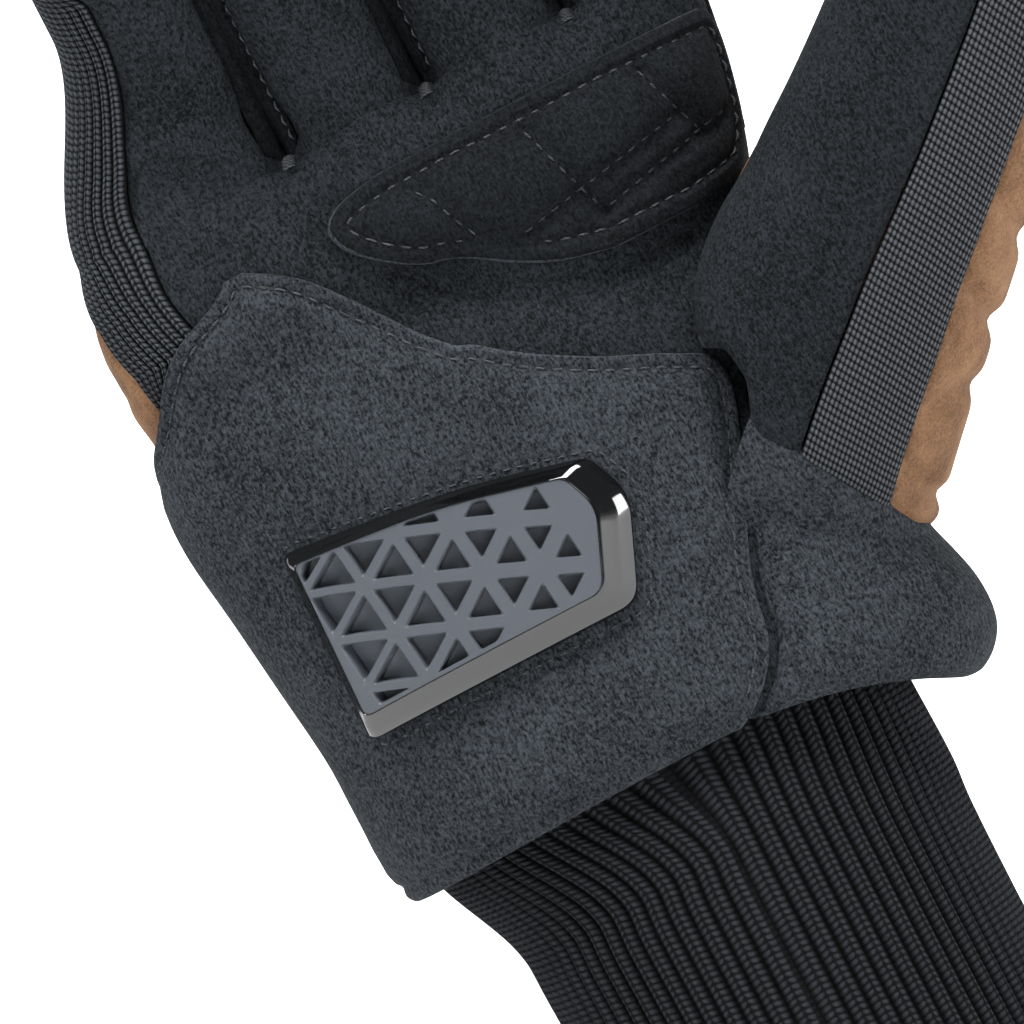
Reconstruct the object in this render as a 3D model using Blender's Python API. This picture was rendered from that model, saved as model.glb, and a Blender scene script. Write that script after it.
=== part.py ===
"""Winter motorcycle glove for the right hand, filled out as when worn.

The palm faces -Y, the fingers point to +Z and the thumb to +X. The origin is the middle of the
cuff's mouth. Lengths are metres. A point on the hand is found from a turn, in degrees from the
middle of the palm towards the thumb, and a station, the row number in HAND_STATIONS.
"""
import math

import bpy
import numpy as np
from mathutils import Vector, geometry

MM = 0.001

# Lengths that set the glove's size
CUFF_LENGTH = 88 * MM
PALM_LENGTH = 108 * MM
PALM_WIDTH = 108 * MM
PALM_DEPTH = 50 * MM
MIDDLE_FINGER_LENGTH = 84 * MM
FINGER_DEPTH = 25 * MM
THUMB_REACH = 120 * MM
THUMB_WIDTH = 42 * MM
THUMB_DEPTH = 36 * MM
CUFF_WIDTH = 72 * MM
CUFF_DEPTH = 50 * MM

# Thicknesses and clearances
SUEDE_WALL = 2.2 * MM
STRIP_WALL = 1.6 * MM
KNIT_WALL = 2.8 * MM
PATCH_WALL = 2.0 * MM
GRIP_WALL = 2.4 * MM
CLEARANCE = 0.35 * MM
HAND_SEAM_HALF_GAP = 0.6 * CLEARANCE
FINGER_SEAM_HALF_GAP = 0.75 * CLEARANCE
OVERLAY_LIFT = 0.8 * MM
SEAM_EASE = 0.9 * MM
FINGER_GAP = 0.8 * MM
WEB_HEIGHT = 12 * MM

# Knit
RIB_PITCH = 2.7 * MM
CUFF_RIB_DEPTH = 0.9 * MM
STRIP_RIB_DEPTH = 0.7 * MM
GUSSET_RIBS = 9
BAND_RIBS = 5

# Slider on the heel
SLIDER_LENGTH = 49 * MM
SLIDER_THICKNESS = 3.2 * MM
SLIDER_BEVEL = 1.8 * MM
SLIDER_RIM = 1.2 * MM
BACKING_THICKNESS = 0.8 * MM
LATTICE_PITCH = 8.4 * MM
PLATE_STEP = 7 * MM
LATTICE_LEAN = 23.5
NARROW_STRUT = 1.3 * MM
WIDE_STRUT = 3.0 * MM
SMALLEST_HOLE = 1.4 * MM

HAND_ROUNDNESS = 2.8
FINGER_ROUNDNESS = 2.3
THUMB_ROUNDNESS = 2.2
CUFF_ROUNDNESS = 2.2

# Heights and the forward shift are shares of the palm's length from the middle of the wrist seam,
# edges are shares of its width, and depths of its depth.
HAND_COLUMNS = ("middle_height", "left_height", "right_height", "left_edge", "right_edge",
                "front", "back", "forward")
HAND_STATIONS = np.array([
    (0.019, -0.009, -0.065, -0.407, 0.347, 0.480, 0.470, 0.000),
    (0.014, 0.000, -0.081, -0.426, 0.415, 0.530, 0.500, 0.000),
    (0.046, 0.028, -0.046, -0.429, 0.458, 0.560, 0.520, 0.000),
    (0.093, 0.083, 0.019, -0.426, 0.465, 0.560, 0.520, 0.000),
    (0.162, 0.157, 0.120, -0.425, 0.440, 0.540, 0.510, 0.000),
    (0.231, 0.231, 0.222, -0.426, 0.426, 0.520, 0.500, 0.000),
    (0.352, 0.352, 0.352, -0.439, 0.421, 0.500, 0.480, 0.000),
    (0.463, 0.463, 0.463, -0.451, 0.426, 0.480, 0.460, 0.000),
    (0.574, 0.574, 0.574, -0.464, 0.444, 0.450, 0.430, 0.010),
    (0.667, 0.667, 0.667, -0.464, 0.472, 0.420, 0.400, 0.020),
    (0.741, 0.741, 0.741, -0.460, 0.498, 0.370, 0.380, 0.033),
    (0.824, 0.824, 0.824, -0.468, 0.517, 0.390, 0.360, 0.046),
    (0.907, 0.907, 0.907, -0.461, 0.532, 0.330, 0.320, 0.065),
    (1.000, 1.000, 1.000, -0.431, 0.542, 0.290, 0.290, 0.088),
])
TOP_STATION = len(HAND_STATIONS) - 1
PANEL_STATIONS = (*range(TOP_STATION), *(TOP_STATION - below for below in (0.62, 0.3, 0.1, 0)))
STRIPS_START = 10
LEFT_AT_GAPS, RIGHT_AT_GAPS, FORWARD_AT_GAPS = (
    HAND_STATIONS[-1, HAND_COLUMNS.index(column)] for column in ("left_edge", "right_edge", "forward"))

# Turns of the seams between palm, gusset, back and index strip
SEAM_COLUMNS = ("station", "palm_left", "back_left", "palm_right", "back_right")
HAND_SEAMS = np.array([
    (0.0, -62.0, -62.0, 90.0, 90.0),
    (9.0, -62.0, -62.0, 90.0, 90.0),
    (10.0, -55.0, -62.0, 88.0, 92.5),
    (11.0, -37.0, -64.5, 82.5, 100.0),
    (12.0, -42.0, -74.0, 82.5, 102.0),
    (13.0, -46.0, -97.0, 82.5, 104.0),
])

# Edges, tip width, lean, and the shift while a finger narrows are shares of the palm's width, the
# length of the middle finger's, the depth of the finger depth. Seams are turns about the finger and
# curl is the turn of its tip, in degrees.
FINGER_COLUMNS = ("left_edge", "right_edge", "length", "depth", "tip_width", "shift", "lean", "curl",
                  "palm_left", "palm_right", "back_left", "back_right")
FINGERS = {
    "little": (-0.431, -0.0995, 0.74, 0.92, 0.212, 0.055, 0.015, 34, -20.0, 66.0, -97.0, 114.0),
    "ring": (-0.0920, 0.1180, 0.94, 0.97, 0.204, 0.000, 0.008, 40, -66.0, 66.0, -114.0, 114.0),
    "middle": (0.1255, 0.3395, 1.00, 1.00, 0.206, 0.000, 0.008, 42, -66.0, 66.0, -114.0, 114.0),
    "index": (0.3470, 0.5420, 0.91, 0.97, 0.200, 0.010, 0.025, 38, -66.0, 76.0, -114.0, 104.0),
}
FINGER_NAMES = tuple(FINGERS)
ROOT_LEAN = 10.0
ROOT_TILT_LENGTH = 15 * MM
NARROWS_BY = 0.55
FINGER_ROWS = (0.05, 0.16, 0.30, 0.45, 0.60, 0.74, 0.85, 0.94)
STRIP_END = 0.80
ROUND_TIP = 0.80
SEAM_CLOSES_FROM = 0.66
SEAM_CLOSES_AT = 0.84
FINGER_CELLS = 4

# Places are shares of the thumb's reach from the middle of the wrist seam, widths and depths are
# shares of the thumb's own.
THUMB_STATIONS = np.array([
    (0.205, -0.005, 0.170, 1.20, 1.05),
    (0.325, -0.085, 0.300, 1.17, 1.09),
    (0.470, -0.165, 0.430, 1.09, 1.02),
    (0.620, -0.240, 0.555, 0.98, 0.97),
    (0.765, -0.305, 0.685, 0.92, 0.91),
    (0.870, -0.350, 0.790, 0.88, 0.86),
    (0.960, -0.390, 0.890, 0.80, 0.78),
])
THUMB_TOP = len(THUMB_STATIONS) - 1
THUMB_ROWS = (0.0, 0.7, 1.4, 2.1, 2.8, 3.5, 4.2, 4.8, 5.3, 5.65, 5.88)
THUMB_TIP_STARTS = 4.6
THUMB_SEAMS = {"web": -98.0, "band_inner": 2.0, "band_outer": 41.0}
THUMB_SEAMS_CLOSE_FROM = 4.0
THUMB_SEAMS_CLOSE_AT = 5.2
THUMB_BAND_END = 4.8

# Rows of the overlays: station, turn of the left edge, turn of the right edge
HEEL_PATCH_ROWS = (
    (0.85, -97.5, 21), (1.6, -98, 22), (2.7, -98, 23.5), (4.0, -98, 26), (5.0, -98, 29),
    (6.0, -98, 35), (6.7, -98, 38), (7.1, -98, 36), (7.35, -98, 29), (7.8, -97.5, 17), (8.4, -96, 7),
    (9.2, -90, -1), (10.1, -64, -6), (11.0, -46, -10.5), (11.45, -31, -14.5), (11.72, -26.5, -19),
)
WRIST_PANEL_ROWS = (
    (0.85, 23.5, 128), (1.6, 24.5, 128), (2.6, 26, 128), (3.4, 28, 120), (4.2, 31, 108),
    (5.0, 36, 94), (5.6, 42, 80),
)
GRIP_PATCH_ROWS = (
    (9.05, 26, 47), (9.3, 15, 66), (9.7, 5, 72), (10.2, -1.5, 75), (10.7, -6.5, 76), (11.2, -10.5, 76.5),
    (11.7, -12.5, 76), (12.05, -11.5, 74), (12.2, -7, 68),
)
OVERLAY_CELLS = 12

# Slider corners seen from the front: across and up from the left end's lower corner, as shares of
# the slider's length, and the radius at the corner.
SLIDER_LEFT = -0.350
SLIDER_BASE = 0.222
SLIDER_CORNERS = (
    (0.010, 0.000, 0.060),
    (0.870, -0.010, 0.100),
    (1.000, 0.300, 0.120),
    (0.940, 0.455, 0.060),
    (0.560, 0.560, 0.300),
    (0.015, 0.640, 0.050),
)
CORNER_CELLS = 3

# Cuff rows: share of the height up to the seam, share of the cuff's width, of its depth
CUFF_ROWS = ((0.0, 1.0, 1.0), (0.4, 0.99, 0.98), (0.72, 1.0, 1.0), (0.84, 1.02, 1.0))
CUFF_TUCK = 7 * MM
CUFF_INNER_ROWS = (0, 3, 5)


def clear_scene():
    for thing in list(bpy.data.objects):
        bpy.data.objects.remove(thing, do_unlink=True)


def finish(name, colour, roughness, metallic=0.0):
    """A Principled material in the piece's own colour."""
    material = bpy.data.materials.new(name)
    material.use_nodes = True
    shader = material.node_tree.nodes["Principled BSDF"]
    shader.inputs["Base Color"].default_value = (*colour, 1.0)
    shader.inputs["Roughness"].default_value = roughness
    shader.inputs["Metallic"].default_value = metallic
    return material


def add_piece(name, points, faces, material):
    mesh = bpy.data.meshes.new(name)
    mesh.from_pydata([tuple(point) for point in points], [], [tuple(face) for face in faces])
    mesh.materials.append(material)
    mesh.shade_smooth()
    piece = bpy.data.objects.new(name, mesh)
    bpy.context.collection.objects.link(piece)
    return piece


def add_wall(name, outer, inner, faces, material):
    """A closed wall: the outer face, the inner face turned round, and a rim along each open edge."""
    count = len(outer)
    walls = [tuple(face) for face in faces]
    walls += [tuple(index + count for index in reversed(face)) for face in faces]
    edges = {(face[i], face[(i + 1) % len(face)]) for face in faces for i in range(len(face))}
    walls += [(b, a, a + count, b + count) for a, b in edges if (b, a) not in edges]
    return add_piece(name, np.vstack([outer, inner]), sorted(walls), material)


def grid_faces(rows, columns):
    """Faces of a grid whose columns run to the right and rows upwards, seen from outside."""
    return [(r * columns + c, r * columns + c + 1, (r + 1) * columns + c + 1, (r + 1) * columns + c)
            for r in range(rows - 1) for c in range(columns - 1)]


def along(table, place):
    """Smooth value of each column of a table at a row number, through all its rows."""
    place = np.asarray(place, float)
    row = np.clip(np.floor(place).astype(int), 0, len(table) - 2)
    part = (place - row)[..., None]
    before, start = table[np.maximum(row - 1, 0)], table[row]
    end, after = table[row + 1], table[np.minimum(row + 2, len(table) - 1)]
    slope_in, slope_out = (end - before) / 2, (after - start) / 2
    rise = end - start
    return (start + part * slope_in + part**2 * (3 * rise - 2 * slope_in - slope_out)
            + part**3 * (slope_in + slope_out - 2 * rise))


def rounded(value, roundness):
    """One coordinate of a superellipse, from the sine or cosine of the turn."""
    return np.sign(value) * np.abs(value) ** (2 / roundness)


def smooth_step(value):
    value = np.clip(value, 0, 1)
    return value * value * (3 - 2 * value)


def finger(name):
    return dict(zip(FINGER_COLUMNS, FINGERS[name]))


def finger_depth_at(x):
    """Half depth of the row of fingers at the gaps, across the hand."""
    seam_share = rounded(math.sin(math.radians(finger("ring")["palm_right"])), FINGER_ROUNDNESS)
    depth = np.zeros_like(x)
    for name in FINGER_NAMES:
        own = finger(name)
        left, right = own["left_edge"] * PALM_WIDTH, own["right_edge"] * PALM_WIDTH
        share = np.abs(x - (left + right) / 2) / ((right - left) / 2)
        beyond_middle = x > (left + right) / 2
        outer_side = ((name == "little") & ~beyond_middle) | ((name == "index") & beyond_middle)
        share = np.clip(share, 0, np.where(outer_side, 1.0, seam_share))
        full = own["depth"] * FINGER_DEPTH / 2 * (1 - share**FINGER_ROUNDNESS) ** (1 / FINGER_ROUNDNESS)
        under_finger = (x > left - FINGER_GAP) & (x < right + FINGER_GAP)
        depth = np.where(under_finger, np.maximum(depth, full), depth)
    return depth


def hand_surface(turn, station):
    """Outer face of the palm and back, which takes the form of the fingers just under the gaps."""
    turn, station = np.broadcast_arrays(np.radians(np.asarray(turn, float)), np.asarray(station, float))
    columns = np.moveaxis(along(HAND_STATIONS, station), -1, 0)
    middle_z, left_z, right_z, left, right, front, back, forward = columns
    across = rounded(np.sin(turn), HAND_ROUNDNESS)
    towards_palm = rounded(np.cos(turn), HAND_ROUNDNESS)
    x = ((left + right) / 2 + (right - left) / 2 * across) * PALM_WIDTH
    middle_at_gaps, half_at_gaps = (LEFT_AT_GAPS + RIGHT_AT_GAPS) / 2, (RIGHT_AT_GAPS - LEFT_AT_GAPS) / 2
    x_at_gaps = (middle_at_gaps + half_at_gaps * across) * PALM_WIDTH
    hand_depth = np.where(towards_palm > 0, front, back) * PALM_DEPTH * towards_palm
    finger_depth = np.sign(towards_palm) * finger_depth_at(x_at_gaps)
    height = middle_z + (left_z - middle_z) * np.maximum(-across, 0) ** 2
    height = height + (right_z - middle_z) * np.maximum(across, 0) ** 2.5
    rise = np.clip(1 + (height - 1) * PALM_LENGTH / WEB_HEIGHT, 0, 1)
    web = 1 - np.sqrt(1 - rise**2)
    y = -(forward * PALM_LENGTH) - ((1 - web) * hand_depth + web * finger_depth)
    return np.stack([x, y, CUFF_LENGTH + height * PALM_LENGTH], -1)


def normals_of(surface, across, up, across_step, up_step, up_limits):
    """Outward direction of a surface, from small steps along its two directions."""
    across, up = np.broadcast_arrays(np.asarray(across, float), np.asarray(up, float))
    low = np.clip(up - up_step, *up_limits)
    high = np.clip(up + up_step, *up_limits)
    to_right = surface(across + across_step, up) - surface(across - across_step, up)
    upwards = surface(across, high) - surface(across, low)
    normal = np.cross(to_right, upwards)
    return normal / np.linalg.norm(normal, axis=-1, keepdims=True)


def hand_point(turn, station, lift=0.0):
    """A point above or, with a negative lift, below the hand's outer face."""
    normal = normals_of(hand_surface, turn, station, 0.6, 0.04, (0, TOP_STATION - 0.02))
    return hand_surface(turn, station) + normal * np.asarray(lift)[..., None]


def seam_turn(column, station):
    return np.interp(station, HAND_SEAMS[:, 0], HAND_SEAMS[:, SEAM_COLUMNS.index(column)])


def top_turn(x):
    """Turn about the hand of a place across the row of finger gaps."""
    left, right = LEFT_AT_GAPS * PALM_WIDTH, RIGHT_AT_GAPS * PALM_WIDTH
    share = np.clip((x - (left + right) / 2) / ((right - left) / 2), -1, 1)
    return np.degrees(np.arcsin(np.sign(share) * np.abs(share) ** (HAND_ROUNDNESS / 2)))


def finger_surface(name):
    """Outer face of one finger, as a function of the turn about it and the share of its length."""
    own = finger(name)
    left, right = own["left_edge"] * PALM_WIDTH, own["right_edge"] * PALM_WIDTH
    root_half, body_half = (right - left) / 2, own["tip_width"] * PALM_WIDTH / 2
    length, half_depth = own["length"] * MIDDLE_FINGER_LENGTH, own["depth"] * FINGER_DEPTH / 2
    first, bend = math.radians(ROOT_LEAN), math.radians(own["curl"]) / length

    def surface(turn, share):
        turn, share = np.broadcast_arrays(np.radians(np.asarray(turn, float)), np.asarray(share, float))
        along_finger = share * length
        angle = first + bend * along_finger
        tip = np.sqrt(1 - np.clip((share - ROUND_TIP) / (1 - ROUND_TIP), 0, 1) ** 2)
        narrowed = smooth_step(share / NARROWS_BY)
        half = (root_half + (body_half - root_half) * narrowed) * tip
        tilt = angle * smooth_step(along_finger / ROOT_TILT_LENGTH)
        x = (left + right) / 2 + (own["shift"] * narrowed + own["lean"] * share) * PALM_WIDTH
        y = -FORWARD_AT_GAPS * PALM_LENGTH - (math.cos(first) - np.cos(angle)) / bend
        z = CUFF_LENGTH + PALM_LENGTH + (np.sin(angle) - math.sin(first)) / bend
        depth = half_depth * tip * rounded(np.cos(turn), FINGER_ROUNDNESS)
        return np.stack([x + half * rounded(np.sin(turn), FINGER_ROUNDNESS),
                         y - depth * np.cos(tilt), z - depth * np.sin(tilt)], -1)

    return surface


def finger_point(name, turn, share, lift=0.0):
    surface = finger_surface(name)
    normal = normals_of(surface, turn, share, 1.0, 0.004, (0, 0.995))
    return surface(turn, share) + normal * np.asarray(lift)[..., None]


def finger_tip(name, side, lift):
    """Middle of the finger's tip, moved to the palm side or the back side to clear the seam."""
    surface = finger_surface(name)
    middle = (surface(0.0, 1.0) + surface(180.0, 1.0)) / 2
    towards = surface(0.0, 0.9) - surface(180.0, 0.9)
    towards = towards / np.linalg.norm(towards)
    outwards = middle - (surface(0.0, 0.97) + surface(180.0, 0.97)) / 2
    outwards = outwards / np.linalg.norm(outwards)
    return middle + side * towards * CLEARANCE + outwards * lift


def closing_seam(start, closed, share, radius):
    """Turn of a finger seam, which closes with the facing seam near the tip, less the clearance."""
    closing = smooth_step((share - SEAM_CLOSES_FROM) / (SEAM_CLOSES_AT - SEAM_CLOSES_FROM))
    tip = np.sqrt(1 - np.clip((share - ROUND_TIP) / (1 - ROUND_TIP), 0, 0.98) ** 2)
    return start + (closed - start) * closing, np.degrees(FINGER_SEAM_HALF_GAP / (radius * tip))


def panel(name, side, material):
    """Palm or back of the hand with the four finger halves: side is 1 for the palm, -1 for the back."""
    left_seam, right_seam = ("palm_left", "palm_right") if side > 0 else ("back_left", "back_right")
    outer, inner, faces = [], [], []

    def seam_pair(name_of_finger, share):
        own = finger(name_of_finger)
        radius = own["depth"] * FINGER_DEPTH / 2
        left, margin = closing_seam(own[left_seam], -90.0, share, radius)
        right, _ = closing_seam(own[right_seam], 90.0, share, radius)
        if side > 0:
            return left + margin, right - margin
        return left + 360 - margin, right + margin

    def top_turns():
        """Turns at the row of gaps: the finger columns, with one shared column at each gap."""
        turns = []
        for number, name_of_finger in enumerate(FINGER_NAMES):
            own = finger(name_of_finger)
            start, end = own[left_seam], own[right_seam]
            if side < 0:
                start, end = -180 - start, 180 - end
            angles = np.radians(np.linspace(start, end, FINGER_CELLS + 1))
            left, right = own["left_edge"] * PALM_WIDTH, own["right_edge"] * PALM_WIDTH
            places = (left + right) / 2 + (right - left) / 2 * rounded(np.sin(angles), FINGER_ROUNDNESS)
            if number > 0:
                before = finger(FINGER_NAMES[number - 1])["right_edge"] * PALM_WIDTH
                places[0] = (left + before) / 2
                turns.pop()
            turns += list(top_turn(places))
        return np.array(turns)

    columns = top_turns()
    share = np.linspace(0, 1, len(columns))
    margin = np.degrees(HAND_SEAM_HALF_GAP / (PALM_DEPTH / 2))
    for station in PANEL_STATIONS:
        left, right = seam_turn(left_seam, station), seam_turn(right_seam, station)
        if side < 0:
            left, right = -180 - left, 180 - right
        turns = columns + (left + margin - columns[0]) * (1 - share) ** 2
        turns = turns + (right - margin - columns[-1]) * share**2
        turns = turns if side > 0 else 180 - turns
        outer.append(hand_point(turns, station))
        inner.append(hand_point(turns, station, -SUEDE_WALL))
    for gap in range(FINGER_CELLS, len(columns) - 1, FINGER_CELLS):
        inner[-1][gap] = outer[-1][gap] - np.array([0.0, 0.0, SUEDE_WALL])
    rows, wide = len(outer), len(columns)
    faces += grid_faces(rows, wide)
    outer, inner = [np.vstack(outer)], [np.vstack(inner)]
    used = rows * wide
    for number, name_of_finger in enumerate(FINGER_NAMES):
        below = [(rows - 1) * wide + number * FINGER_CELLS + c for c in range(FINGER_CELLS + 1)]
        for share_of_length in FINGER_ROWS:
            start, end = seam_pair(name_of_finger, share_of_length)
            turns = np.linspace(start, end, FINGER_CELLS + 1)
            outer.append(finger_point(name_of_finger, turns, share_of_length))
            inner.append(finger_point(name_of_finger, turns, share_of_length, -SUEDE_WALL))
            here = list(range(used, used + FINGER_CELLS + 1))
            faces += [(below[c], below[c + 1], here[c + 1], here[c]) for c in range(FINGER_CELLS)]
            below, used = here, used + FINGER_CELLS + 1
        outer.append(finger_tip(name_of_finger, side, 0.0)[None])
        inner.append(finger_tip(name_of_finger, side, -SUEDE_WALL)[None])
        faces += [(below[c], below[c + 1], used) for c in range(FINGER_CELLS)]
        used += 1
    if side < 0:
        faces = [tuple(reversed(face)) for face in faces]
    return add_wall(name, np.vstack(outer), np.vstack(inner), faces, material)


def fourchette(left_name, right_name, material):
    """Strip between two fingers: down the side of one, through the gap and up the side of the other."""
    cells = 3
    shares = [row for row in FINGER_ROWS if row < STRIP_END]
    rows = []
    for name_of_finger, palm_seam, back_seam, order in (
            (left_name, "palm_right", "back_right", reversed(shares)),
            (right_name, "palm_left", "back_left", shares)):
        own = finger(name_of_finger)
        radius = own["depth"] * FINGER_DEPTH / 2
        closed = math.copysign(90.0, own[palm_seam])
        part = []
        for share in order:
            palm, margin = closing_seam(own[palm_seam], closed, share, radius)
            back, _ = closing_seam(own[back_seam], closed, share, radius)
            margin = math.copysign(margin, own[palm_seam])
            turns = np.linspace(palm + margin, back - margin, cells + 1)
            part.append((finger_point(name_of_finger, turns, share),
                         finger_point(name_of_finger, turns, share, -STRIP_WALL)))
        rows.append(part)
    middle = (finger(left_name)["right_edge"] + finger(right_name)["left_edge"]) / 2 * PALM_WIDTH
    turn = float(top_turn(np.array(middle)))
    front, back = hand_surface(turn, TOP_STATION), hand_surface(180 - turn, TOP_STATION)
    depths = np.linspace(front[1] + 2 * CLEARANCE, back[1] - 2 * CLEARANCE, cells + 1)
    top = np.stack([np.full(cells + 1, middle), depths, np.full(cells + 1, front[2])], -1)
    bottom = top - np.array([0, 0, STRIP_WALL])
    rows = rows[0] + [(top, bottom)] + rows[1]
    faces = [tuple(reversed(face)) for face in grid_faces(len(rows), cells + 1)]
    outer, inner = np.vstack([row[0] for row in rows]), np.vstack([row[1] for row in rows])
    name = "fourchette_" + left_name + "_" + right_name
    return add_wall(name, outer, inner, faces, material)


def side_strip(name, name_of_finger, palm_seam, back_seam, ribs, rib_depth, wall, material):
    """Strip from the hand up the outer side of the first or last finger, with ribs along it."""
    own = finger(name_of_finger)
    cells = 2 * ribs if ribs else 3
    grooves = np.array([rib_depth if ribs and number % 2 else 0.0 for number in range(cells + 1)])
    outward = math.copysign(1, own[palm_seam])
    outer, inner = [], []
    hand_margin = math.copysign(np.degrees(HAND_SEAM_HALF_GAP / (PALM_DEPTH / 2)), outward)
    for station in [station for station in PANEL_STATIONS if station >= STRIPS_START]:
        turns = np.linspace(seam_turn(palm_seam, station) + hand_margin,
                            seam_turn(back_seam, station) - hand_margin, cells + 1)
        outer.append(hand_point(turns, station, -grooves))
        inner.append(hand_point(turns, station, -wall))
    for share in [row for row in FINGER_ROWS if row < STRIP_END]:
        radius = own["depth"] * FINGER_DEPTH / 2
        palm, margin = closing_seam(own[palm_seam], 90.0 * outward, share, radius)
        back, _ = closing_seam(own[back_seam], 90.0 * outward, share, radius)
        turns = np.linspace(palm + margin * outward, back - margin * outward, cells + 1)
        outer.append(finger_point(name_of_finger, turns, share, -grooves))
        inner.append(finger_point(name_of_finger, turns, share, -wall))
    faces = grid_faces(len(outer), cells + 1)
    if outward < 0:
        faces = [tuple(reversed(face)) for face in faces]
    return add_wall(name, np.vstack(outer), np.vstack(inner), faces, material)


def overlay(name, rows, lift, wall, material):
    """Piece sewn on top of the hand: each row gives its station and the turns of its two ends."""
    outer, inner = [], []
    for station, left, right in rows:
        turns = np.linspace(left, right, OVERLAY_CELLS + 1)
        outer.append(hand_point(turns, station, lift + wall))
        inner.append(hand_point(turns, station, lift))
    faces = grid_faces(len(rows), OVERLAY_CELLS + 1)
    return add_wall(name, np.vstack(outer), np.vstack(inner), faces, material)


def thumb_surface(turn, station):
    """Outer face of the thumb: an oval carried along its curved middle line, rounded at the tip."""
    turn, station = np.broadcast_arrays(np.radians(np.asarray(turn, float)), np.asarray(station, float))
    row = along(THUMB_STATIONS, station)
    step = 0.02
    ahead = along(THUMB_STATIONS, np.minimum(station + step, THUMB_TOP))[..., :3]
    behind = along(THUMB_STATIONS, np.maximum(station - step, 0))[..., :3]
    along_thumb = ahead - behind
    along_thumb = along_thumb / np.linalg.norm(along_thumb, axis=-1, keepdims=True)
    side = np.cross(along_thumb, np.array([0.0, -1.0, 0.0]))
    side = side / np.linalg.norm(side, axis=-1, keepdims=True)
    front = np.cross(side, along_thumb)
    tip = np.sqrt(1 - np.clip((station - THUMB_TIP_STARTS) / (THUMB_TOP - THUMB_TIP_STARTS), 0, 1) ** 2)
    half_width = (row[..., 3] * THUMB_WIDTH / 2 * tip)[..., None]
    half_depth = (row[..., 4] * THUMB_DEPTH / 2 * tip)[..., None]
    centre = row[..., :3] * THUMB_REACH + np.array([0, 0, CUFF_LENGTH])
    return (centre + side * half_width * rounded(np.sin(turn), THUMB_ROUNDNESS)[..., None]
            + front * half_depth * rounded(np.cos(turn), THUMB_ROUNDNESS)[..., None])


def thumb_point(turn, station, lift=0.0):
    normal = normals_of(thumb_surface, turn, station, 1.0, 0.03, (0, THUMB_TOP - 0.03))
    return thumb_surface(turn, station) + normal * np.asarray(lift)[..., None]


def thumb_tip(towards_turn, lift):
    """Middle of the thumb's tip, moved towards one turn to clear the seam."""
    middle = (thumb_surface(0.0, THUMB_TOP) + thumb_surface(180.0, THUMB_TOP)) / 2
    before = (thumb_surface(0.0, THUMB_TOP - 0.1) + thumb_surface(180.0, THUMB_TOP - 0.1)) / 2
    outwards = (middle - before) / np.linalg.norm(middle - before)
    towards = thumb_surface(towards_turn, THUMB_TOP - 0.4) - before
    return middle + towards / np.linalg.norm(towards) * CLEARANCE + outwards * lift


def thumb_seam(name, station):
    """Turn of a thumb seam: the band's two seams run together near the tip."""
    together = (THUMB_SEAMS["band_inner"] + THUMB_SEAMS["band_outer"]) / 2
    if name == "web":
        return THUMB_SEAMS["web"]
    share = (station - THUMB_SEAMS_CLOSE_FROM) / (THUMB_SEAMS_CLOSE_AT - THUMB_SEAMS_CLOSE_FROM)
    return THUMB_SEAMS[name] + (together - THUMB_SEAMS[name]) * smooth_step(share)


def thumb_margin(station):
    share = (station - THUMB_TIP_STARTS) / (THUMB_TOP - THUMB_TIP_STARTS)
    tip = math.sqrt(1 - np.clip(share, 0, 0.98) ** 2)
    return math.degrees(FINGER_SEAM_HALF_GAP / (THUMB_DEPTH / 2 * tip))


def thumb_piece(name, left, right, cells, ends_at_tip, ribs, wall, material):
    """Lengthwise piece of the thumb between two seams."""
    rows = [row for row in THUMB_ROWS if ends_at_tip or row <= THUMB_BAND_END]
    grooves = np.array([STRIP_RIB_DEPTH if ribs and number % 2 else 0.0 for number in range(cells + 1)])
    outer, inner = [], []
    for station in rows:
        margin = thumb_margin(station)
        start, end = thumb_seam(left, station) + margin, thumb_seam(right, station) - margin
        end += 360 if end < start else 0
        turns = np.linspace(start, end, cells + 1)
        outer.append(thumb_point(turns, station, -grooves))
        inner.append(thumb_point(turns, station, -wall))
    faces = grid_faces(len(rows), cells + 1)
    if ends_at_tip:
        towards = (start + end) / 2
        tip, last = len(rows) * (cells + 1), (len(rows) - 1) * (cells + 1)
        outer.append(thumb_tip(towards, 0.0)[None])
        inner.append(thumb_tip(towards, -wall)[None])
        faces += [(last + c, last + c + 1, tip) for c in range(cells)]
    return add_wall(name, np.vstack(outer), np.vstack(inner), faces, material)


def ring_solid(name, rings):
    """Closed solid through a stack of rings, with flat ends: a cutter, left out of the part."""
    count = len(rings[0])
    faces = []
    for below in range(0, (len(rings) - 1) * count, count):
        faces += [(below + c, below + (c + 1) % count, below + count + (c + 1) % count, below + count + c)
                  for c in range(count)]
    faces.append(tuple(reversed(range(count))))
    faces.append(tuple((len(rings) - 1) * count + c for c in range(count)))
    cutter = add_piece(name, np.vstack(rings), faces, finish(name, (0.5, 0.5, 0.5), 0.5))
    cutter.hide_render = True
    cutter.display_type = "WIRE"
    return cutter


def hand_cutter(lift):
    turns = np.arange(0, 360, 12.0)
    stations = (0.3, 1, 2, 3, 4, 5, 6, 7, 8, 9, 10, 10.5, 11, 11.5)
    return ring_solid("hand_form", [hand_point(turns, station, lift) for station in stations])


def thumb_cutter(name, lift, first_row):
    turns = np.arange(0, 360, 15.0)
    rows = [row for row in THUMB_ROWS if row >= first_row]
    return ring_solid(name, [thumb_point(turns, row, lift) for row in rows])


def cut_away(piece, cutter):
    cut = piece.modifiers.new("cut_by_" + cutter.name, "BOOLEAN")
    cut.operation = "DIFFERENCE"
    cut.object = cutter
    cut.solver = "EXACT"


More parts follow.
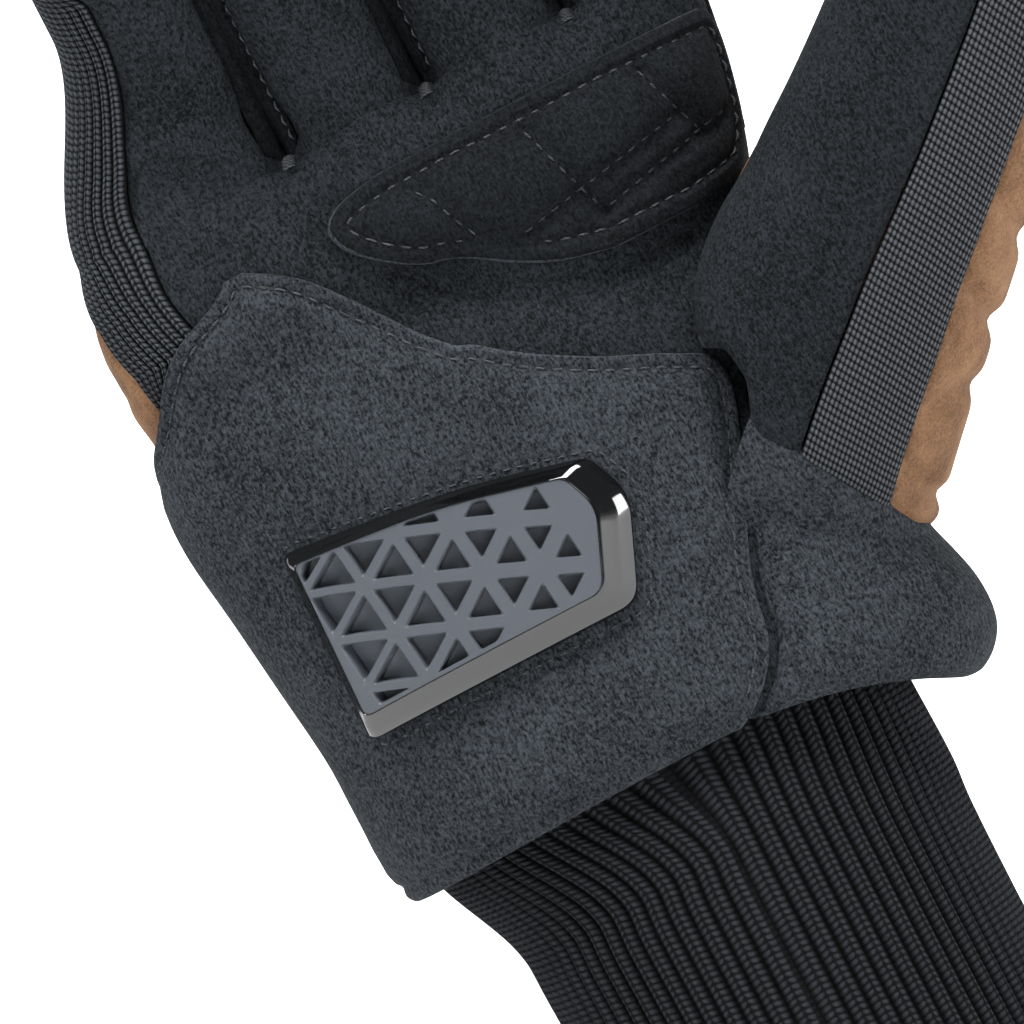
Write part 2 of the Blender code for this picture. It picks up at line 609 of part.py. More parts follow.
def cuff_ring(turns, row, inwards):
    """A ring of the cuff: rows of the table up to the seam, then two rows that follow the hem."""
    radians = np.radians(turns)
    across = rounded(np.sin(radians), CUFF_ROUNDNESS)
    towards_palm = rounded(np.cos(radians), CUFF_ROUNDNESS)
    hem = hand_surface(turns, np.zeros_like(turns))
    hem_inside = hand_point(turns, np.zeros_like(turns), -SUEDE_WALL)
    if row < len(CUFF_ROWS):
        height, wide, deep = CUFF_ROWS[row]
        return np.stack([across * (CUFF_WIDTH / 2 * wide - inwards),
                         -towards_palm * (CUFF_DEPTH / 2 * deep - inwards), height * hem[:, 2]], -1)
    middle = np.array([hem[:, 0].mean(), 0.0, 0.0])
    outward = (hem - middle) * np.array([1.0, 1.0, 0.0])
    reach = np.linalg.norm(outward, axis=1, keepdims=True)
    inner_reach = np.sum((hem_inside - middle) * outward, axis=1, keepdims=True) / reach
    outward = outward / reach
    ring = hem - outward * (reach - np.minimum(reach, inner_reach) + SEAM_EASE + inwards)
    if row > len(CUFF_ROWS):
        ring = ring - outward * CLEARANCE + np.array([0.0, 0.0, CUFF_TUCK])
    return ring


def knit_cuff(material):
    """Ribbed tube: grooves on every second column outside, smooth inside."""
    around = math.pi * (CUFF_WIDTH + CUFF_DEPTH) / 2 * 1.02
    ribs = round(around / RIB_PITCH)
    turns = np.arange(2 * ribs) * 180.0 / ribs
    grooves = np.where(np.arange(2 * ribs) % 2, CUFF_RIB_DEPTH, 0.0)
    outer_rows = [cuff_ring(turns, row, grooves if row < len(CUFF_ROWS) else grooves[:, None])
                  for row in range(len(CUFF_ROWS) + 2)]
    plain = np.full(2 * ribs, KNIT_WALL)
    inner_rows = [cuff_ring(turns, row, plain if row < len(CUFF_ROWS) else plain[:, None])
                  for row in CUFF_INNER_ROWS]
    rings = outer_rows + inner_rows[::-1]
    count = len(turns)
    faces = []
    for r in range(len(rings)):
        here, above = r * count, (r + 1) % len(rings) * count
        faces += [(here + c, here + (c + 1) % count, above + (c + 1) % count, above + c)
                  for c in range(count)]
    return add_piece("knit_cuff", np.vstack(rings), faces, material)


def hand_place(across, height):
    """Turns and stations of the points of the palm seen at given places from the front."""
    turn = np.zeros_like(across)
    heights = CUFF_LENGTH + HAND_STATIONS[1:, 0] * PALM_LENGTH
    station = np.interp(height, heights, np.arange(1, TOP_STATION + 1))
    for _ in range(40):
        point = hand_surface(turn, station)
        further = hand_surface(turn + 0.5, station) - point
        higher = hand_surface(turn, station + 0.05) - point
        turn = np.clip(turn + (across - point[:, 0]) / further[:, 0] * 0.35, -88, 88)
        station = np.clip(station + (height - point[:, 2]) / higher[:, 2] * 0.035, 0, TOP_STATION - 0.1)
    return turn, station


def rounded_outline(corners, inset):
    """The slider's outline moved inwards: rounded corners, and sides in steps so that it can bend."""
    arcs = []
    count = len(corners)
    base = Vector((SLIDER_LEFT * PALM_WIDTH, CUFF_LENGTH + SLIDER_BASE * PALM_LENGTH))
    places = [base + Vector(corner[:2]) * SLIDER_LENGTH for corner in corners]
    lines = []
    for number in range(count):
        start, end = places[number], places[(number + 1) % count]
        inward = Vector((-(end - start).y, (end - start).x)).normalized()
        lines.append((start + inward * inset, end + inward * inset))
    for number in range(count):
        before, after = lines[number - 1], lines[number]
        corner = geometry.intersect_line_line(*[p.to_3d() for p in (*before, *after)])[0].to_2d()
        reach = max(corners[number][2] * SLIDER_LENGTH - inset, 0.6 * MM)
        start = corner + (before[0] - corner).normalized() * reach * 0.6
        end = corner + (after[1] - corner).normalized() * reach * 0.6
        parts = [step / CORNER_CELLS for step in range(CORNER_CELLS + 1)]
        arcs.append([start * (1 - part) ** 2 + corner * 2 * part * (1 - part) + end * part**2
                     for part in parts])
    points = []
    for number in range(count):
        points += arcs[number]
        start, end = arcs[number][-1], arcs[(number + 1) % count][0]
        steps = math.ceil((places[(number + 1) % count] - places[number]).length / PLATE_STEP)
        points += [start.lerp(end, step / steps) for step in range(1, steps)]
    return points


def clip_inside(polygon, boundary):
    """The part of a polygon that lies inside a convex boundary that runs anticlockwise."""
    for number, start in enumerate(boundary):
        end = boundary[(number + 1) % len(boundary)]
        inward = Vector((-(end - start).y, (end - start).x)).normalized()
        kept = []
        for index, point in enumerate(polygon):
            following = polygon[(index + 1) % len(polygon)]
            here, there = (point - start).dot(inward), (following - start).dot(inward)
            if here >= 0:
                kept.append(point)
            if (here > 0) != (there > 0) and abs(here - there) > 1e-9:
                kept.append(point.lerp(following, here / (here - there)))
        polygon = kept
        if len(polygon) < 3:
            return []
    return polygon


def tidy_polygon(polygon):
    """The polygon without corners that almost meet."""
    kept = [point for index, point in enumerate(polygon)
            if (point - polygon[index - 1]).length > 0.25 * MM]
    return kept if len(kept) >= 3 else []


def polygon_area(polygon):
    return 0.5 * sum(a.x * b.y - b.x * a.y for a, b in zip(polygon, polygon[1:] + polygon[:1]))


def lattice_holes(face_outline):
    """Triangular holes of the lattice: struts grow wider towards the thumb's end."""
    height = LATTICE_PITCH * math.sqrt(3) / 2
    lean = math.radians(-LATTICE_LEAN)
    right = Vector((math.cos(lean), math.sin(lean)))
    up = Vector((-math.sin(lean), math.cos(lean)))
    left_end = min(point.x for point in face_outline)
    right_end = max(point.x for point in face_outline)
    origin = Vector((left_end, sum(point.y for point in face_outline) / len(face_outline)))
    holes = []
    for row in range(-9, 10):
        for column in range(-9, 14):
            corner = origin + up * row * height + right * (column + row * 0.5) * LATTICE_PITCH
            for points_up in (True, False):
                beside = corner + right * LATTICE_PITCH
                above = corner + right * LATTICE_PITCH / 2 + up * height
                if points_up:
                    triangle = [corner, beside, above]
                else:
                    triangle = [beside, above + right * LATTICE_PITCH, above]
                middle = sum(triangle, Vector((0, 0))) / 3
                share = min(max((middle.x - left_end) / (right_end - left_end), 0), 1)
                strut = NARROW_STRUT + (WIDE_STRUT - NARROW_STRUT) * share
                scale = 1 - strut / 2 / (height / 3)
                triangle = [middle + (point - middle) * scale for point in triangle]
                hole = tidy_polygon(clip_inside(triangle, face_outline))
                if len(hole) >= 3 and polygon_area(hole) > SMALLEST_HOLE**2:
                    holes.append(hole)
    return holes


def bent(places, lift):
    """Flat places, seen from the front, laid on the palm at a height above it."""
    flat = np.array([tuple(place)[:2] for place in places])
    return hand_point(*hand_place(flat[:, 0], flat[:, 1]), lift)


def solid_plate(name, low, high, outline, material):
    """A plate without holes, bent to the palm, with a net of points inside so that it can bend."""
    left, right = min(point.x for point in outline), max(point.x for point in outline)
    bottom, top = min(point.y for point in outline), max(point.y for point in outline)
    inside = [Vector((x, y)) for x in np.arange(left + PLATE_STEP / 2, right, PLATE_STEP)
              for y in np.arange(bottom + PLATE_STEP / 2, top, PLATE_STEP)]
    apart = [point for point in inside if min((point - other).length for other in outline) > PLATE_STEP / 3]
    edges = [(c, (c + 1) % len(outline)) for c in range(len(outline))]
    places, _, faces, *_ = geometry.delaunay_2d_cdt(list(outline) + apart, edges, [], 1, 1e-7)
    return add_wall(name, bent(places, high), bent(places, low), faces, material)


def plate(name, low, high, low_outline, high_outline, holes, material):
    """A plate bent to the palm, between two heights above it, with straight holes."""
    lower = [list(low_outline)] + holes
    upper = [list(high_outline)] + holes
    points, faces, start = [], [], 0
    for outline_low, outline_high in zip(lower, upper):
        count = len(outline_low)
        for outline, lift in ((outline_low, low), (outline_high, high)):
            points.append(bent(outline, lift))
        for c in range(count):
            after = (c + 1) % count
            side = (start + c, start + after, start + count + after, start + count + c)
            faces.append(side if start == 0 else tuple(reversed(side)))
        start += 2 * count
    for loops, upwards in ((lower, False), (upper, True)):
        places, edges, index, loop_of = [], [], [], []
        for number, loop in enumerate(loops):
            first, count = len(places), len(loop)
            edges += [(first + c, first + (c + 1) % count) for c in range(count)]
            index += [2 * first + (count if upwards else 0) + c for c in range(count)]
            loop_of += [number] * count
            places += loop
        found = geometry.delaunay_2d_cdt(places, edges, [], 1, 1e-7)
        for triangle in found[2]:
            corners = [found[3][i][0] for i in triangle]
            loops_met = {loop_of[i] for i in corners}
            if len(loops_met) > 1 or 0 in loops_met:
                ordered = corners if upwards else corners[::-1]
                faces.append(tuple(index[i] for i in ordered))
    return add_piece(name, np.vstack(points), faces, material)


def build_glove():
    clear_scene()
    charcoal = finish("charcoal_suede", (0.030, 0.032, 0.036), 0.92)
    brown = finish("brown_suede", (0.42, 0.22, 0.11), 0.9)
    black_knit = finish("black_knit", (0.012, 0.012, 0.014), 0.9)
    palm = panel("palm_panel", 1, charcoal)
    back = panel("back_panel", -1, brown)
    for left_name, right_name in zip(FINGER_NAMES, FINGER_NAMES[1:]):
        fourchette(left_name, right_name, finish("fourchette_suede", (0.025, 0.026, 0.03), 0.9))
    side_strip("little_side_gusset", "little", "palm_left", "back_left",
               GUSSET_RIBS, STRIP_RIB_DEPTH, STRIP_WALL + STRIP_RIB_DEPTH, black_knit)
    side_strip("index_side_strip", "index", "palm_right", "back_right",
               0, 0.0, STRIP_WALL, finish("strip_suede", (0.028, 0.03, 0.033), 0.9))
    heel = overlay("heel_patch", HEEL_PATCH_ROWS, OVERLAY_LIFT, PATCH_WALL,
                   finish("patch_suede", (0.034, 0.036, 0.04), 0.92))
    overlay("grip_patch", GRIP_PATCH_ROWS, OVERLAY_LIFT, GRIP_WALL,
            finish("quilted_suede", (0.032, 0.033, 0.037), 0.92))
    wrist = overlay("wrist_panel", WRIST_PANEL_ROWS, OVERLAY_LIFT, PATCH_WALL,
                    finish("wrist_suede", (0.03, 0.031, 0.035), 0.92))
    front = thumb_piece("thumb_front", "web", "band_inner", 8, True, False, SUEDE_WALL, charcoal)
    band = thumb_piece("thumb_band", "band_inner", "band_outer", 2 * BAND_RIBS, False, True,
                       STRIP_WALL + STRIP_RIB_DEPTH, black_knit)
    rear = thumb_piece("thumb_back", "band_outer", "web", 13, True, False, SUEDE_WALL, brown)
    knit_cuff(finish("cuff_knit", (0.014, 0.014, 0.016), 0.9))

    backing_low = OVERLAY_LIFT + PATCH_WALL + CLEARANCE * 1.5
    slider_low = backing_low + BACKING_THICKNESS + CLEARANCE * 1.5
    outline = rounded_outline(SLIDER_CORNERS, 0.0)
    face = rounded_outline(SLIDER_CORNERS, SLIDER_BEVEL)
    holes = lattice_holes(rounded_outline(SLIDER_CORNERS, SLIDER_BEVEL + SLIDER_RIM))
    plate("palm_slider", slider_low, slider_low + SLIDER_THICKNESS, outline, face, holes,
          finish("slider_plastic", (0.16, 0.17, 0.19), 0.35))
    backing = rounded_outline(SLIDER_CORNERS, SLIDER_RIM)
    solid_plate("slider_backing", backing_low, backing_low + BACKING_THICKNESS, backing,
                finish("backing_plastic", (0.2, 0.21, 0.23), 0.4))

    hand_form = hand_cutter(CLEARANCE)
    thumb_hollow = thumb_cutter("thumb_hollow", -SUEDE_WALL, 0.7)
    thumb_form = thumb_cutter("thumb_form", CLEARANCE, 0.0)
    for piece in (palm, back):
        cut_away(piece, thumb_hollow)
    for piece in (front, band, rear):
        cut_away(piece, hand_form)
    for piece in (heel, wrist):
        cut_away(piece, thumb_form)


build_glove()
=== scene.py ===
import math

import bpy
import numpy as np
from mathutils import Matrix, Vector, geometry


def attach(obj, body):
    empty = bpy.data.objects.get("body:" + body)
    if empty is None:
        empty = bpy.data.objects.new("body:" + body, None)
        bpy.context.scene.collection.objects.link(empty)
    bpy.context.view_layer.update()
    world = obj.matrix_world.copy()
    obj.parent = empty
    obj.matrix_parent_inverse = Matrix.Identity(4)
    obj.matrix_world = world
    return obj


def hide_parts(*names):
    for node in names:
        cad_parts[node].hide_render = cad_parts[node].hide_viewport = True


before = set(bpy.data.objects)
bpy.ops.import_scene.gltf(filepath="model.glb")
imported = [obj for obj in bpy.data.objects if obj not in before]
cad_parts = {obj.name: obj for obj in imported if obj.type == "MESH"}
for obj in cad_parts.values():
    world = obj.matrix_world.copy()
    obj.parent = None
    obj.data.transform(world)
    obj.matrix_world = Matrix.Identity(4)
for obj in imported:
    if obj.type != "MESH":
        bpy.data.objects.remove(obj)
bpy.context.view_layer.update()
MM = 0.001


# Camera, floor and lights. The photograph looks straight at the palm, turned so that the fingers
# lean to the left. A white floor runs up into a white wall; behind the glove both are lit from
# within, so that they stay white. Two tall soft lights stand left and right of the camera, and a
# wide one above it.
CAMERA_ROLL = math.radians(28)
PICTURE_WIDTH = 153.6 * MM
PICTURE_MIDDLE = Vector((-5.5, -24.0, 132.7)) * MM
CAMERA_DISTANCE = 900 * MM
SENSOR_WIDTH = 36.0
FLOOR_DROP = 4 * MM
picture_right = Vector((math.cos(CAMERA_ROLL), 0, -math.sin(CAMERA_ROLL)))
picture_up = Vector((math.sin(CAMERA_ROLL), 0, math.cos(CAMERA_ROLL)))
towards_camera = Vector((0, -1, 0))


def srgb(hex_colour):
    """Linear colour of an sRGB hex value."""
    shares = [int(hex_colour[place:place + 2], 16) / 255 for place in (1, 3, 5)]
    return (*[c / 12.92 if c <= 0.04045 else ((c + 0.055) / 1.055) ** 2.4 for c in shares], 1.0)


def node(tree, kind, settings=None, **inputs):
    """Adds a node with its settings; an input is a value or another node's socket."""
    made = tree.nodes.new(kind)
    for name, value in (settings or {}).items():
        setattr(made, name, value)
    for name, value in inputs.items():
        socket = made.inputs[int(name[1:])] if name[0] == "_" else made.inputs[name.replace("_", " ")]
        if isinstance(value, bpy.types.NodeSocket):
            tree.links.new(value, socket)
        else:
            socket.default_value = value
    return made


def blank_material(name, roughness, **constants):
    """A Principled material with its constant values set on the shader's own sockets."""
    material = bpy.data.materials.new(name)
    material.use_nodes = True
    shader = material.node_tree.nodes["Principled BSDF"]
    shader.inputs["Roughness"].default_value = roughness
    for socket, value in constants.items():
        shader.inputs[socket.replace("_", " ")].default_value = value
    return material, material.node_tree, shader


camera_data = bpy.data.cameras.new("camera")
camera_data.sensor_width = SENSOR_WIDTH
camera_data.lens = SENSOR_WIDTH * CAMERA_DISTANCE / PICTURE_WIDTH
camera_data.clip_start, camera_data.clip_end = 0.05, 20
camera = bpy.data.objects.new("camera", camera_data)
bpy.context.collection.objects.link(camera)
camera.matrix_world = Matrix.Translation(PICTURE_MIDDLE + towards_camera * CAMERA_DISTANCE) @ Matrix(
    (picture_right, picture_up, towards_camera)).transposed().to_4x4()
bpy.context.scene.camera = camera
bpy.context.scene.view_settings.view_transform = "Standard"

SWEEP_RADIUS, SWEEP_START, SWEEP_WIDTH = 0.3, 2.6, 8.0
LIT_FROM, WALL_GLOW = 0.3, 1.0
sweep_turn = np.radians(np.linspace(0, 90, 17))
sweep_profile = np.vstack([
    [(-5.0, 0.0), (LIT_FROM, 0.0)],
    np.stack([SWEEP_START + SWEEP_RADIUS * np.sin(sweep_turn), SWEEP_RADIUS * (1 - np.cos(sweep_turn))], -1),
    [(SWEEP_START + SWEEP_RADIUS, 4.0)]])
sweep_points = [(side * SWEEP_WIDTH / 2, y, z - FLOOR_DROP) for y, z in sweep_profile for side in (-1, 1)]
sweep_mesh = bpy.data.meshes.new("studio_floor")
sweep_faces = [(r, r + 1, r + 3, r + 2) for r in range(0, len(sweep_points) - 2, 2)]
sweep_mesh.from_pydata(sweep_points, [], sweep_faces)
sweep_mesh.shade_smooth()
paper, _, paper_shader = blank_material("white_background_paper", 0.9)
paper_shader.inputs["Base Color"].default_value = srgb("#fafafa")
lit_wall, _, wall_shader = blank_material("lit_white_wall", 0.9)
wall_shader.inputs["Base Color"].default_value = srgb("#fafafa")
wall_shader.inputs["Emission Color"].default_value = (1, 1, 1, 1)
wall_shader.inputs["Emission Strength"].default_value = WALL_GLOW
sweep_mesh.materials.append(paper)
sweep_mesh.materials.append(lit_wall)
for polygon in sweep_mesh.polygons[1:]:
    polygon.material_index = 1
studio_floor = bpy.data.objects.new("studio_floor", sweep_mesh)
bpy.context.collection.objects.link(studio_floor)

world = bpy.data.worlds.new("studio")
world.use_nodes = True
world.node_tree.nodes["Background"].inputs["Color"].default_value = (0.84, 0.85, 0.87, 1)
world.node_tree.nodes["Background"].inputs["Strength"].default_value = 0.12
bpy.context.scene.world = world

# Lights: name, right, up and towards the camera of the picture's middle, width, height (m), power (W)
LIGHTS = (
    ("light_left", -0.78, 0.30, 0.26, 0.35, 1.0, 8.0),
    ("light_right", 0.74, 0.05, 0.30, 0.34, 0.9, 11.0),
    ("light_above", -0.15, 0.95, 0.45, 0.9, 0.4, 19.0),
)
for name, right, up, nearer, wide, high, power in LIGHTS:
    light = bpy.data.lights.new(name, "AREA")
    light.shape = "RECTANGLE"
    light.size, light.size_y, light.energy = wide, high, power
    lamp = bpy.data.objects.new(name, light)
    bpy.context.collection.objects.link(lamp)
    lamp.location = PICTURE_MIDDLE + picture_right * right + picture_up * up + towards_camera * nearer
    lamp.rotation_euler = (PICTURE_MIDDLE - lamp.location).to_track_quat("-Z", "Y").to_euler()


# Palm and finger fronts: one piece of charcoal microsuede from the wrist seam to the fingertips. Its
# form is the hand that fills it. The nap is short and soft, and the cloth lies in soft folds under
# the fingers and in one sharp crease across the palm.
CUFF_LENGTH = 88 * MM
PALM_LENGTH = 108 * MM
PALM_WIDTH = 108 * MM
PALM_DEPTH = 50 * MM
MIDDLE_FINGER_LENGTH = 84 * MM
FINGER_DEPTH = 25 * MM
SUEDE_WALL = 2.2 * MM
SEAM_HALF_GAP = 0.12 * MM
SEAM_DIP = 0.8 * MM
FINGER_GAP = 0.8 * MM
WEB_HEIGHT = 12 * MM
HAND_ROUNDNESS = 2.8
FINGER_ROUNDNESS = 2.3

# Heights and the forward shift are shares of the palm's length from the middle of the wrist seam,
# edges are shares of its width, and depths of its depth.
HAND_COLUMNS = ("middle_height", "left_height", "right_height", "left_edge", "right_edge",
                "front", "back", "forward")
HAND_STATIONS = np.array([
    (0.019, -0.009, -0.065, -0.407, 0.347, 0.480, 0.470, 0.000),
    (0.014, 0.000, -0.081, -0.426, 0.415, 0.530, 0.500, 0.000),
    (0.046, 0.028, -0.046, -0.429, 0.458, 0.560, 0.520, 0.000),
    (0.093, 0.083, 0.019, -0.426, 0.465, 0.560, 0.520, 0.000),
    (0.162, 0.157, 0.120, -0.425, 0.440, 0.540, 0.510, 0.000),
    (0.231, 0.231, 0.222, -0.426, 0.426, 0.520, 0.500, 0.000),
    (0.352, 0.352, 0.352, -0.439, 0.421, 0.500, 0.480, 0.000),
    (0.463, 0.463, 0.463, -0.451, 0.426, 0.480, 0.460, 0.000),
    (0.574, 0.574, 0.574, -0.464, 0.444, 0.450, 0.430, 0.010),
    (0.667, 0.667, 0.667, -0.464, 0.472, 0.420, 0.400, 0.020),
    (0.741, 0.741, 0.741, -0.460, 0.498, 0.370, 0.380, 0.033),
    (0.824, 0.824, 0.824, -0.468, 0.517, 0.390, 0.360, 0.046),
    (0.907, 0.907, 0.907, -0.461, 0.532, 0.330, 0.320, 0.065),
    (1.000, 1.000, 1.000, -0.431, 0.542, 0.290, 0.290, 0.088),
])
TOP_STATION = len(HAND_STATIONS) - 1
LEFT_AT_GAPS, RIGHT_AT_GAPS, FORWARD_AT_GAPS = (
    HAND_STATIONS[-1, HAND_COLUMNS.index(column)] for column in ("left_edge", "right_edge", "forward"))

# Turns of the seams between palm, gusset, back and index strip, in degrees from the palm's middle
SEAM_COLUMNS = ("station", "palm_left", "back_left", "palm_right", "back_right")
HAND_SEAMS = np.array([
    (0.0, -62.0, -62.0, 90.0, 90.0),
    (9.0, -62.0, -62.0, 90.0, 90.0),
    (10.0, -55.0, -62.0, 88.0, 92.5),
    (11.0, -37.0, -64.5, 82.5, 100.0),
    (12.0, -42.0, -74.0, 82.5, 102.0),
    (13.0, -46.0, -97.0, 82.5, 104.0),
])

# Edges, tip width, lean, and the shift while a finger narrows are shares of the palm's width, the
# length of the middle finger's, the depth of the finger depth. Seams are turns about the finger and
# curl is the turn of its tip, in degrees.
FINGER_COLUMNS = ("left_edge", "right_edge", "length", "depth", "tip_width", "shift", "lean", "curl",
                  "palm_left", "palm_right", "back_left", "back_right")
FINGERS = {
    "little": (-0.431, -0.0995, 0.74, 0.92, 0.212, 0.055, 0.015, 34, -20.0, 66.0, -97.0, 114.0),
    "ring": (-0.0920, 0.1180, 0.94, 0.97, 0.204, 0.000, 0.008, 40, -66.0, 66.0, -114.0, 114.0),
    "middle": (0.1255, 0.3395, 1.00, 1.00, 0.206, 0.000, 0.008, 42, -66.0, 66.0, -114.0, 114.0),
    "index": (0.3470, 0.5420, 0.91, 0.97, 0.200, 0.010, 0.025, 38, -66.0, 76.0, -114.0, 104.0),
}
FINGER_NAMES = tuple(FINGERS)
ROOT_LEAN = 10.0
ROOT_TILT_LENGTH = 15 * MM
NARROWS_BY = 0.55
ROUND_TIP = 0.80
STRIP_END = 0.82
SEAM_CLOSES_FROM = 0.66
SEAM_CLOSES_AT = 0.84
HAND_ROWS = 150
FINGER_CELLS = 24
FINGER_ROWS = 44


def along(table, place):
    """Each column of a table at a row number: the cubic whose slope at a row is half the step
    between its neighbours."""
    place = np.asarray(place, float)
    row = np.clip(np.floor(place).astype(int), 0, len(table) - 2)
    part = (place - row)[..., None]
    before, start = table[np.maximum(row - 1, 0)], table[row]
    end, after = table[row + 1], table[np.minimum(row + 2, len(table) - 1)]
    slope_in, slope_out = (end - before) / 2, (after - start) / 2
    rise = end - start
    return (start + part * slope_in + part**2 * (3 * rise - 2 * slope_in - slope_out)
            + part**3 * (slope_in + slope_out - 2 * rise))


def rounded(value, roundness):
    """A superellipse's coordinate: the sine or cosine of the turn to the power 2 over roundness."""
    return np.sign(value) * np.abs(value) ** (2 / roundness)


def smooth_step(value):
    """0 below 0, 1 above 1, and 3v² - 2v³ between."""
    value = np.clip(value, 0, 1)
    return value * value * (3 - 2 * value)


def finger(name):
    return dict(zip(FINGER_COLUMNS, FINGERS[name]))


def finger_depth_at(x):
    """Half depth of the row of fingers at the gaps, across the hand: each finger's own oval."""
    seam_share = rounded(math.sin(math.radians(finger("ring")["palm_right"])), FINGER_ROUNDNESS)
    depth = np.zeros_like(x)
    for name in FINGER_NAMES:
        own = finger(name)
        left, right = own["left_edge"] * PALM_WIDTH, own["right_edge"] * PALM_WIDTH
        share = np.abs(x - (left + right) / 2) / ((right - left) / 2)
        beyond_middle = x > (left + right) / 2
        outer_side = ((name == "little") & ~beyond_middle) | ((name == "index") & beyond_middle)
        share = np.clip(share, 0, np.where(outer_side, 1.0, seam_share))
        full = own["depth"] * FINGER_DEPTH / 2 * (1 - share**FINGER_ROUNDNESS) ** (1 / FINGER_ROUNDNESS)
        under_finger = (x > left - FINGER_GAP) & (x < right + FINGER_GAP)
        depth = np.where(under_finger, np.maximum(depth, full), depth)
    return depth


def hand_surface(turn, station):
    """The hand's form: at each station an oval of powers, its height bent down at the sides, its
    depth changing into the row of fingers along a quarter circle just under the gaps."""
    turn, station = np.broadcast_arrays(np.radians(np.asarray(turn, float)), np.asarray(station, float))
    columns = np.moveaxis(along(HAND_STATIONS, station), -1, 0)
    middle_z, left_z, right_z, left, right, front, back, forward = columns
    across, towards_palm = rounded(np.sin(turn), HAND_ROUNDNESS), rounded(np.cos(turn), HAND_ROUNDNESS)
    x = ((left + right) / 2 + (right - left) / 2 * across) * PALM_WIDTH
    middle_at_gaps, half_at_gaps = (LEFT_AT_GAPS + RIGHT_AT_GAPS) / 2, (RIGHT_AT_GAPS - LEFT_AT_GAPS) / 2
    x_at_gaps = (middle_at_gaps + half_at_gaps * across) * PALM_WIDTH
    hand_depth = np.where(towards_palm > 0, front, back) * PALM_DEPTH * towards_palm
    finger_depth = np.sign(towards_palm) * finger_depth_at(x_at_gaps)
    height = middle_z + (left_z - middle_z) * np.maximum(-across, 0) ** 2
    height = height + (right_z - middle_z) * np.maximum(across, 0) ** 2.5
    rise = np.clip(1 + (height - 1) * PALM_LENGTH / WEB_HEIGHT, 0, 1)
    web = 1 - np.sqrt(1 - rise**2)
    y = -(forward * PALM_LENGTH) - ((1 - web) * hand_depth + web * finger_depth)
    return np.stack([x, y, CUFF_LENGTH + height * PALM_LENGTH], -1)


def normals_of(surface, across, up, across_step, up_step, up_limits):
    """Outward direction of a surface: the cross product of small steps along its two directions."""
    across, up = np.broadcast_arrays(np.asarray(across, float), np.asarray(up, float))
    low, high = np.clip(up - up_step, *up_limits), np.clip(up + up_step, *up_limits)
    to_right = surface(across + across_step, up) - surface(across - across_step, up)
    normal = np.cross(to_right, surface(across, high) - surface(across, low))
    return normal / np.maximum(np.linalg.norm(normal, axis=-1, keepdims=True), 1e-12)


def hand_normal(turn, station):
    return normals_of(hand_surface, turn, station, 0.6, 0.04, (0, TOP_STATION - 0.02))


def hand_point(turn, station, lift=0.0):
    """A point above or, with a negative lift, below the hand's form."""
    return hand_surface(turn, station) + hand_normal(turn, station) * np.asarray(lift)[..., None]


def seam_turn(column, station):
    return np.interp(station, HAND_SEAMS[:, 0], HAND_SEAMS[:, SEAM_COLUMNS.index(column)])


def top_turn(x):
    """Turn about the hand of a place across the row of finger gaps."""
    left, right = LEFT_AT_GAPS * PALM_WIDTH, RIGHT_AT_GAPS * PALM_WIDTH
    share = np.clip((x - (left + right) / 2) / ((right - left) / 2), -1, 1)
    return np.degrees(np.arcsin(np.sign(share) * np.abs(share) ** (HAND_ROUNDNESS / 2)))


def finger_surface(name):
    """One finger's form, from the turn about it and the share of its length: an oval that narrows
    along an arc bent towards the palm, with a round end."""
    own = finger(name)
    left, right = own["left_edge"] * PALM_WIDTH, own["right_edge"] * PALM_WIDTH
    root_half, body_half = (right - left) / 2, own["tip_width"] * PALM_WIDTH / 2
    length, half_depth = own["length"] * MIDDLE_FINGER_LENGTH, own["depth"] * FINGER_DEPTH / 2
    first, bend = math.radians(ROOT_LEAN), math.radians(own["curl"]) / length

    def surface(turn, share):
        turn, share = np.broadcast_arrays(np.radians(np.asarray(turn, float)), np.asarray(share, float))
        along_finger = share * length
        angle = first + bend * along_finger
        tip = np.sqrt(1 - np.clip((share - ROUND_TIP) / (1 - ROUND_TIP), 0, 1) ** 2)
        narrowed = smooth_step(share / NARROWS_BY)
        half = (root_half + (body_half - root_half) * narrowed) * tip
        tilt = angle * smooth_step(along_finger / ROOT_TILT_LENGTH)
        x = (left + right) / 2 + (own["shift"] * narrowed + own["lean"] * share) * PALM_WIDTH
        y = -FORWARD_AT_GAPS * PALM_LENGTH - (math.cos(first) - np.cos(angle)) / bend
        z = CUFF_LENGTH + PALM_LENGTH + (np.sin(angle) - math.sin(first)) / bend
        depth = half_depth * tip * rounded(np.cos(turn), FINGER_ROUNDNESS)
        return np.stack([x + half * rounded(np.sin(turn), FINGER_ROUNDNESS),
                         y - depth * np.cos(tilt), z - depth * np.sin(tilt)], -1)

    return surface


def finger_normal(name, turn, share):
    return normals_of(finger_surface(name), turn, share, 1.0, 0.004, (0, 0.995))


def finger_point(name, turn, share, lift=0.0):
    return finger_surface(name)(turn, share) + finger_normal(name, turn, share) * np.asarray(lift)[..., None]


def finger_tip(name, lift):
    """Middle of the finger's tip."""
    surface = finger_surface(name)
    middle = (surface(0.0, 1.0) + surface(180.0, 1.0)) / 2
    outwards = middle - (surface(0.0, 0.97) + surface(180.0, 0.97)) / 2
    return middle + outwards / np.linalg.norm(outwards) * lift


def closing_seam(start, closed, share, radius):
    """Turn of a finger seam, which closes with the facing seam near the tip, and half its gap."""
    closing = smooth_step((share - SEAM_CLOSES_FROM) / (SEAM_CLOSES_AT - SEAM_CLOSES_FROM))
    tip = np.sqrt(1 - np.clip((share - ROUND_TIP) / (1 - ROUND_TIP), 0, 0.98) ** 2)
    return start + (closed - start) * closing, np.degrees(SEAM_HALF_GAP / (radius * tip))


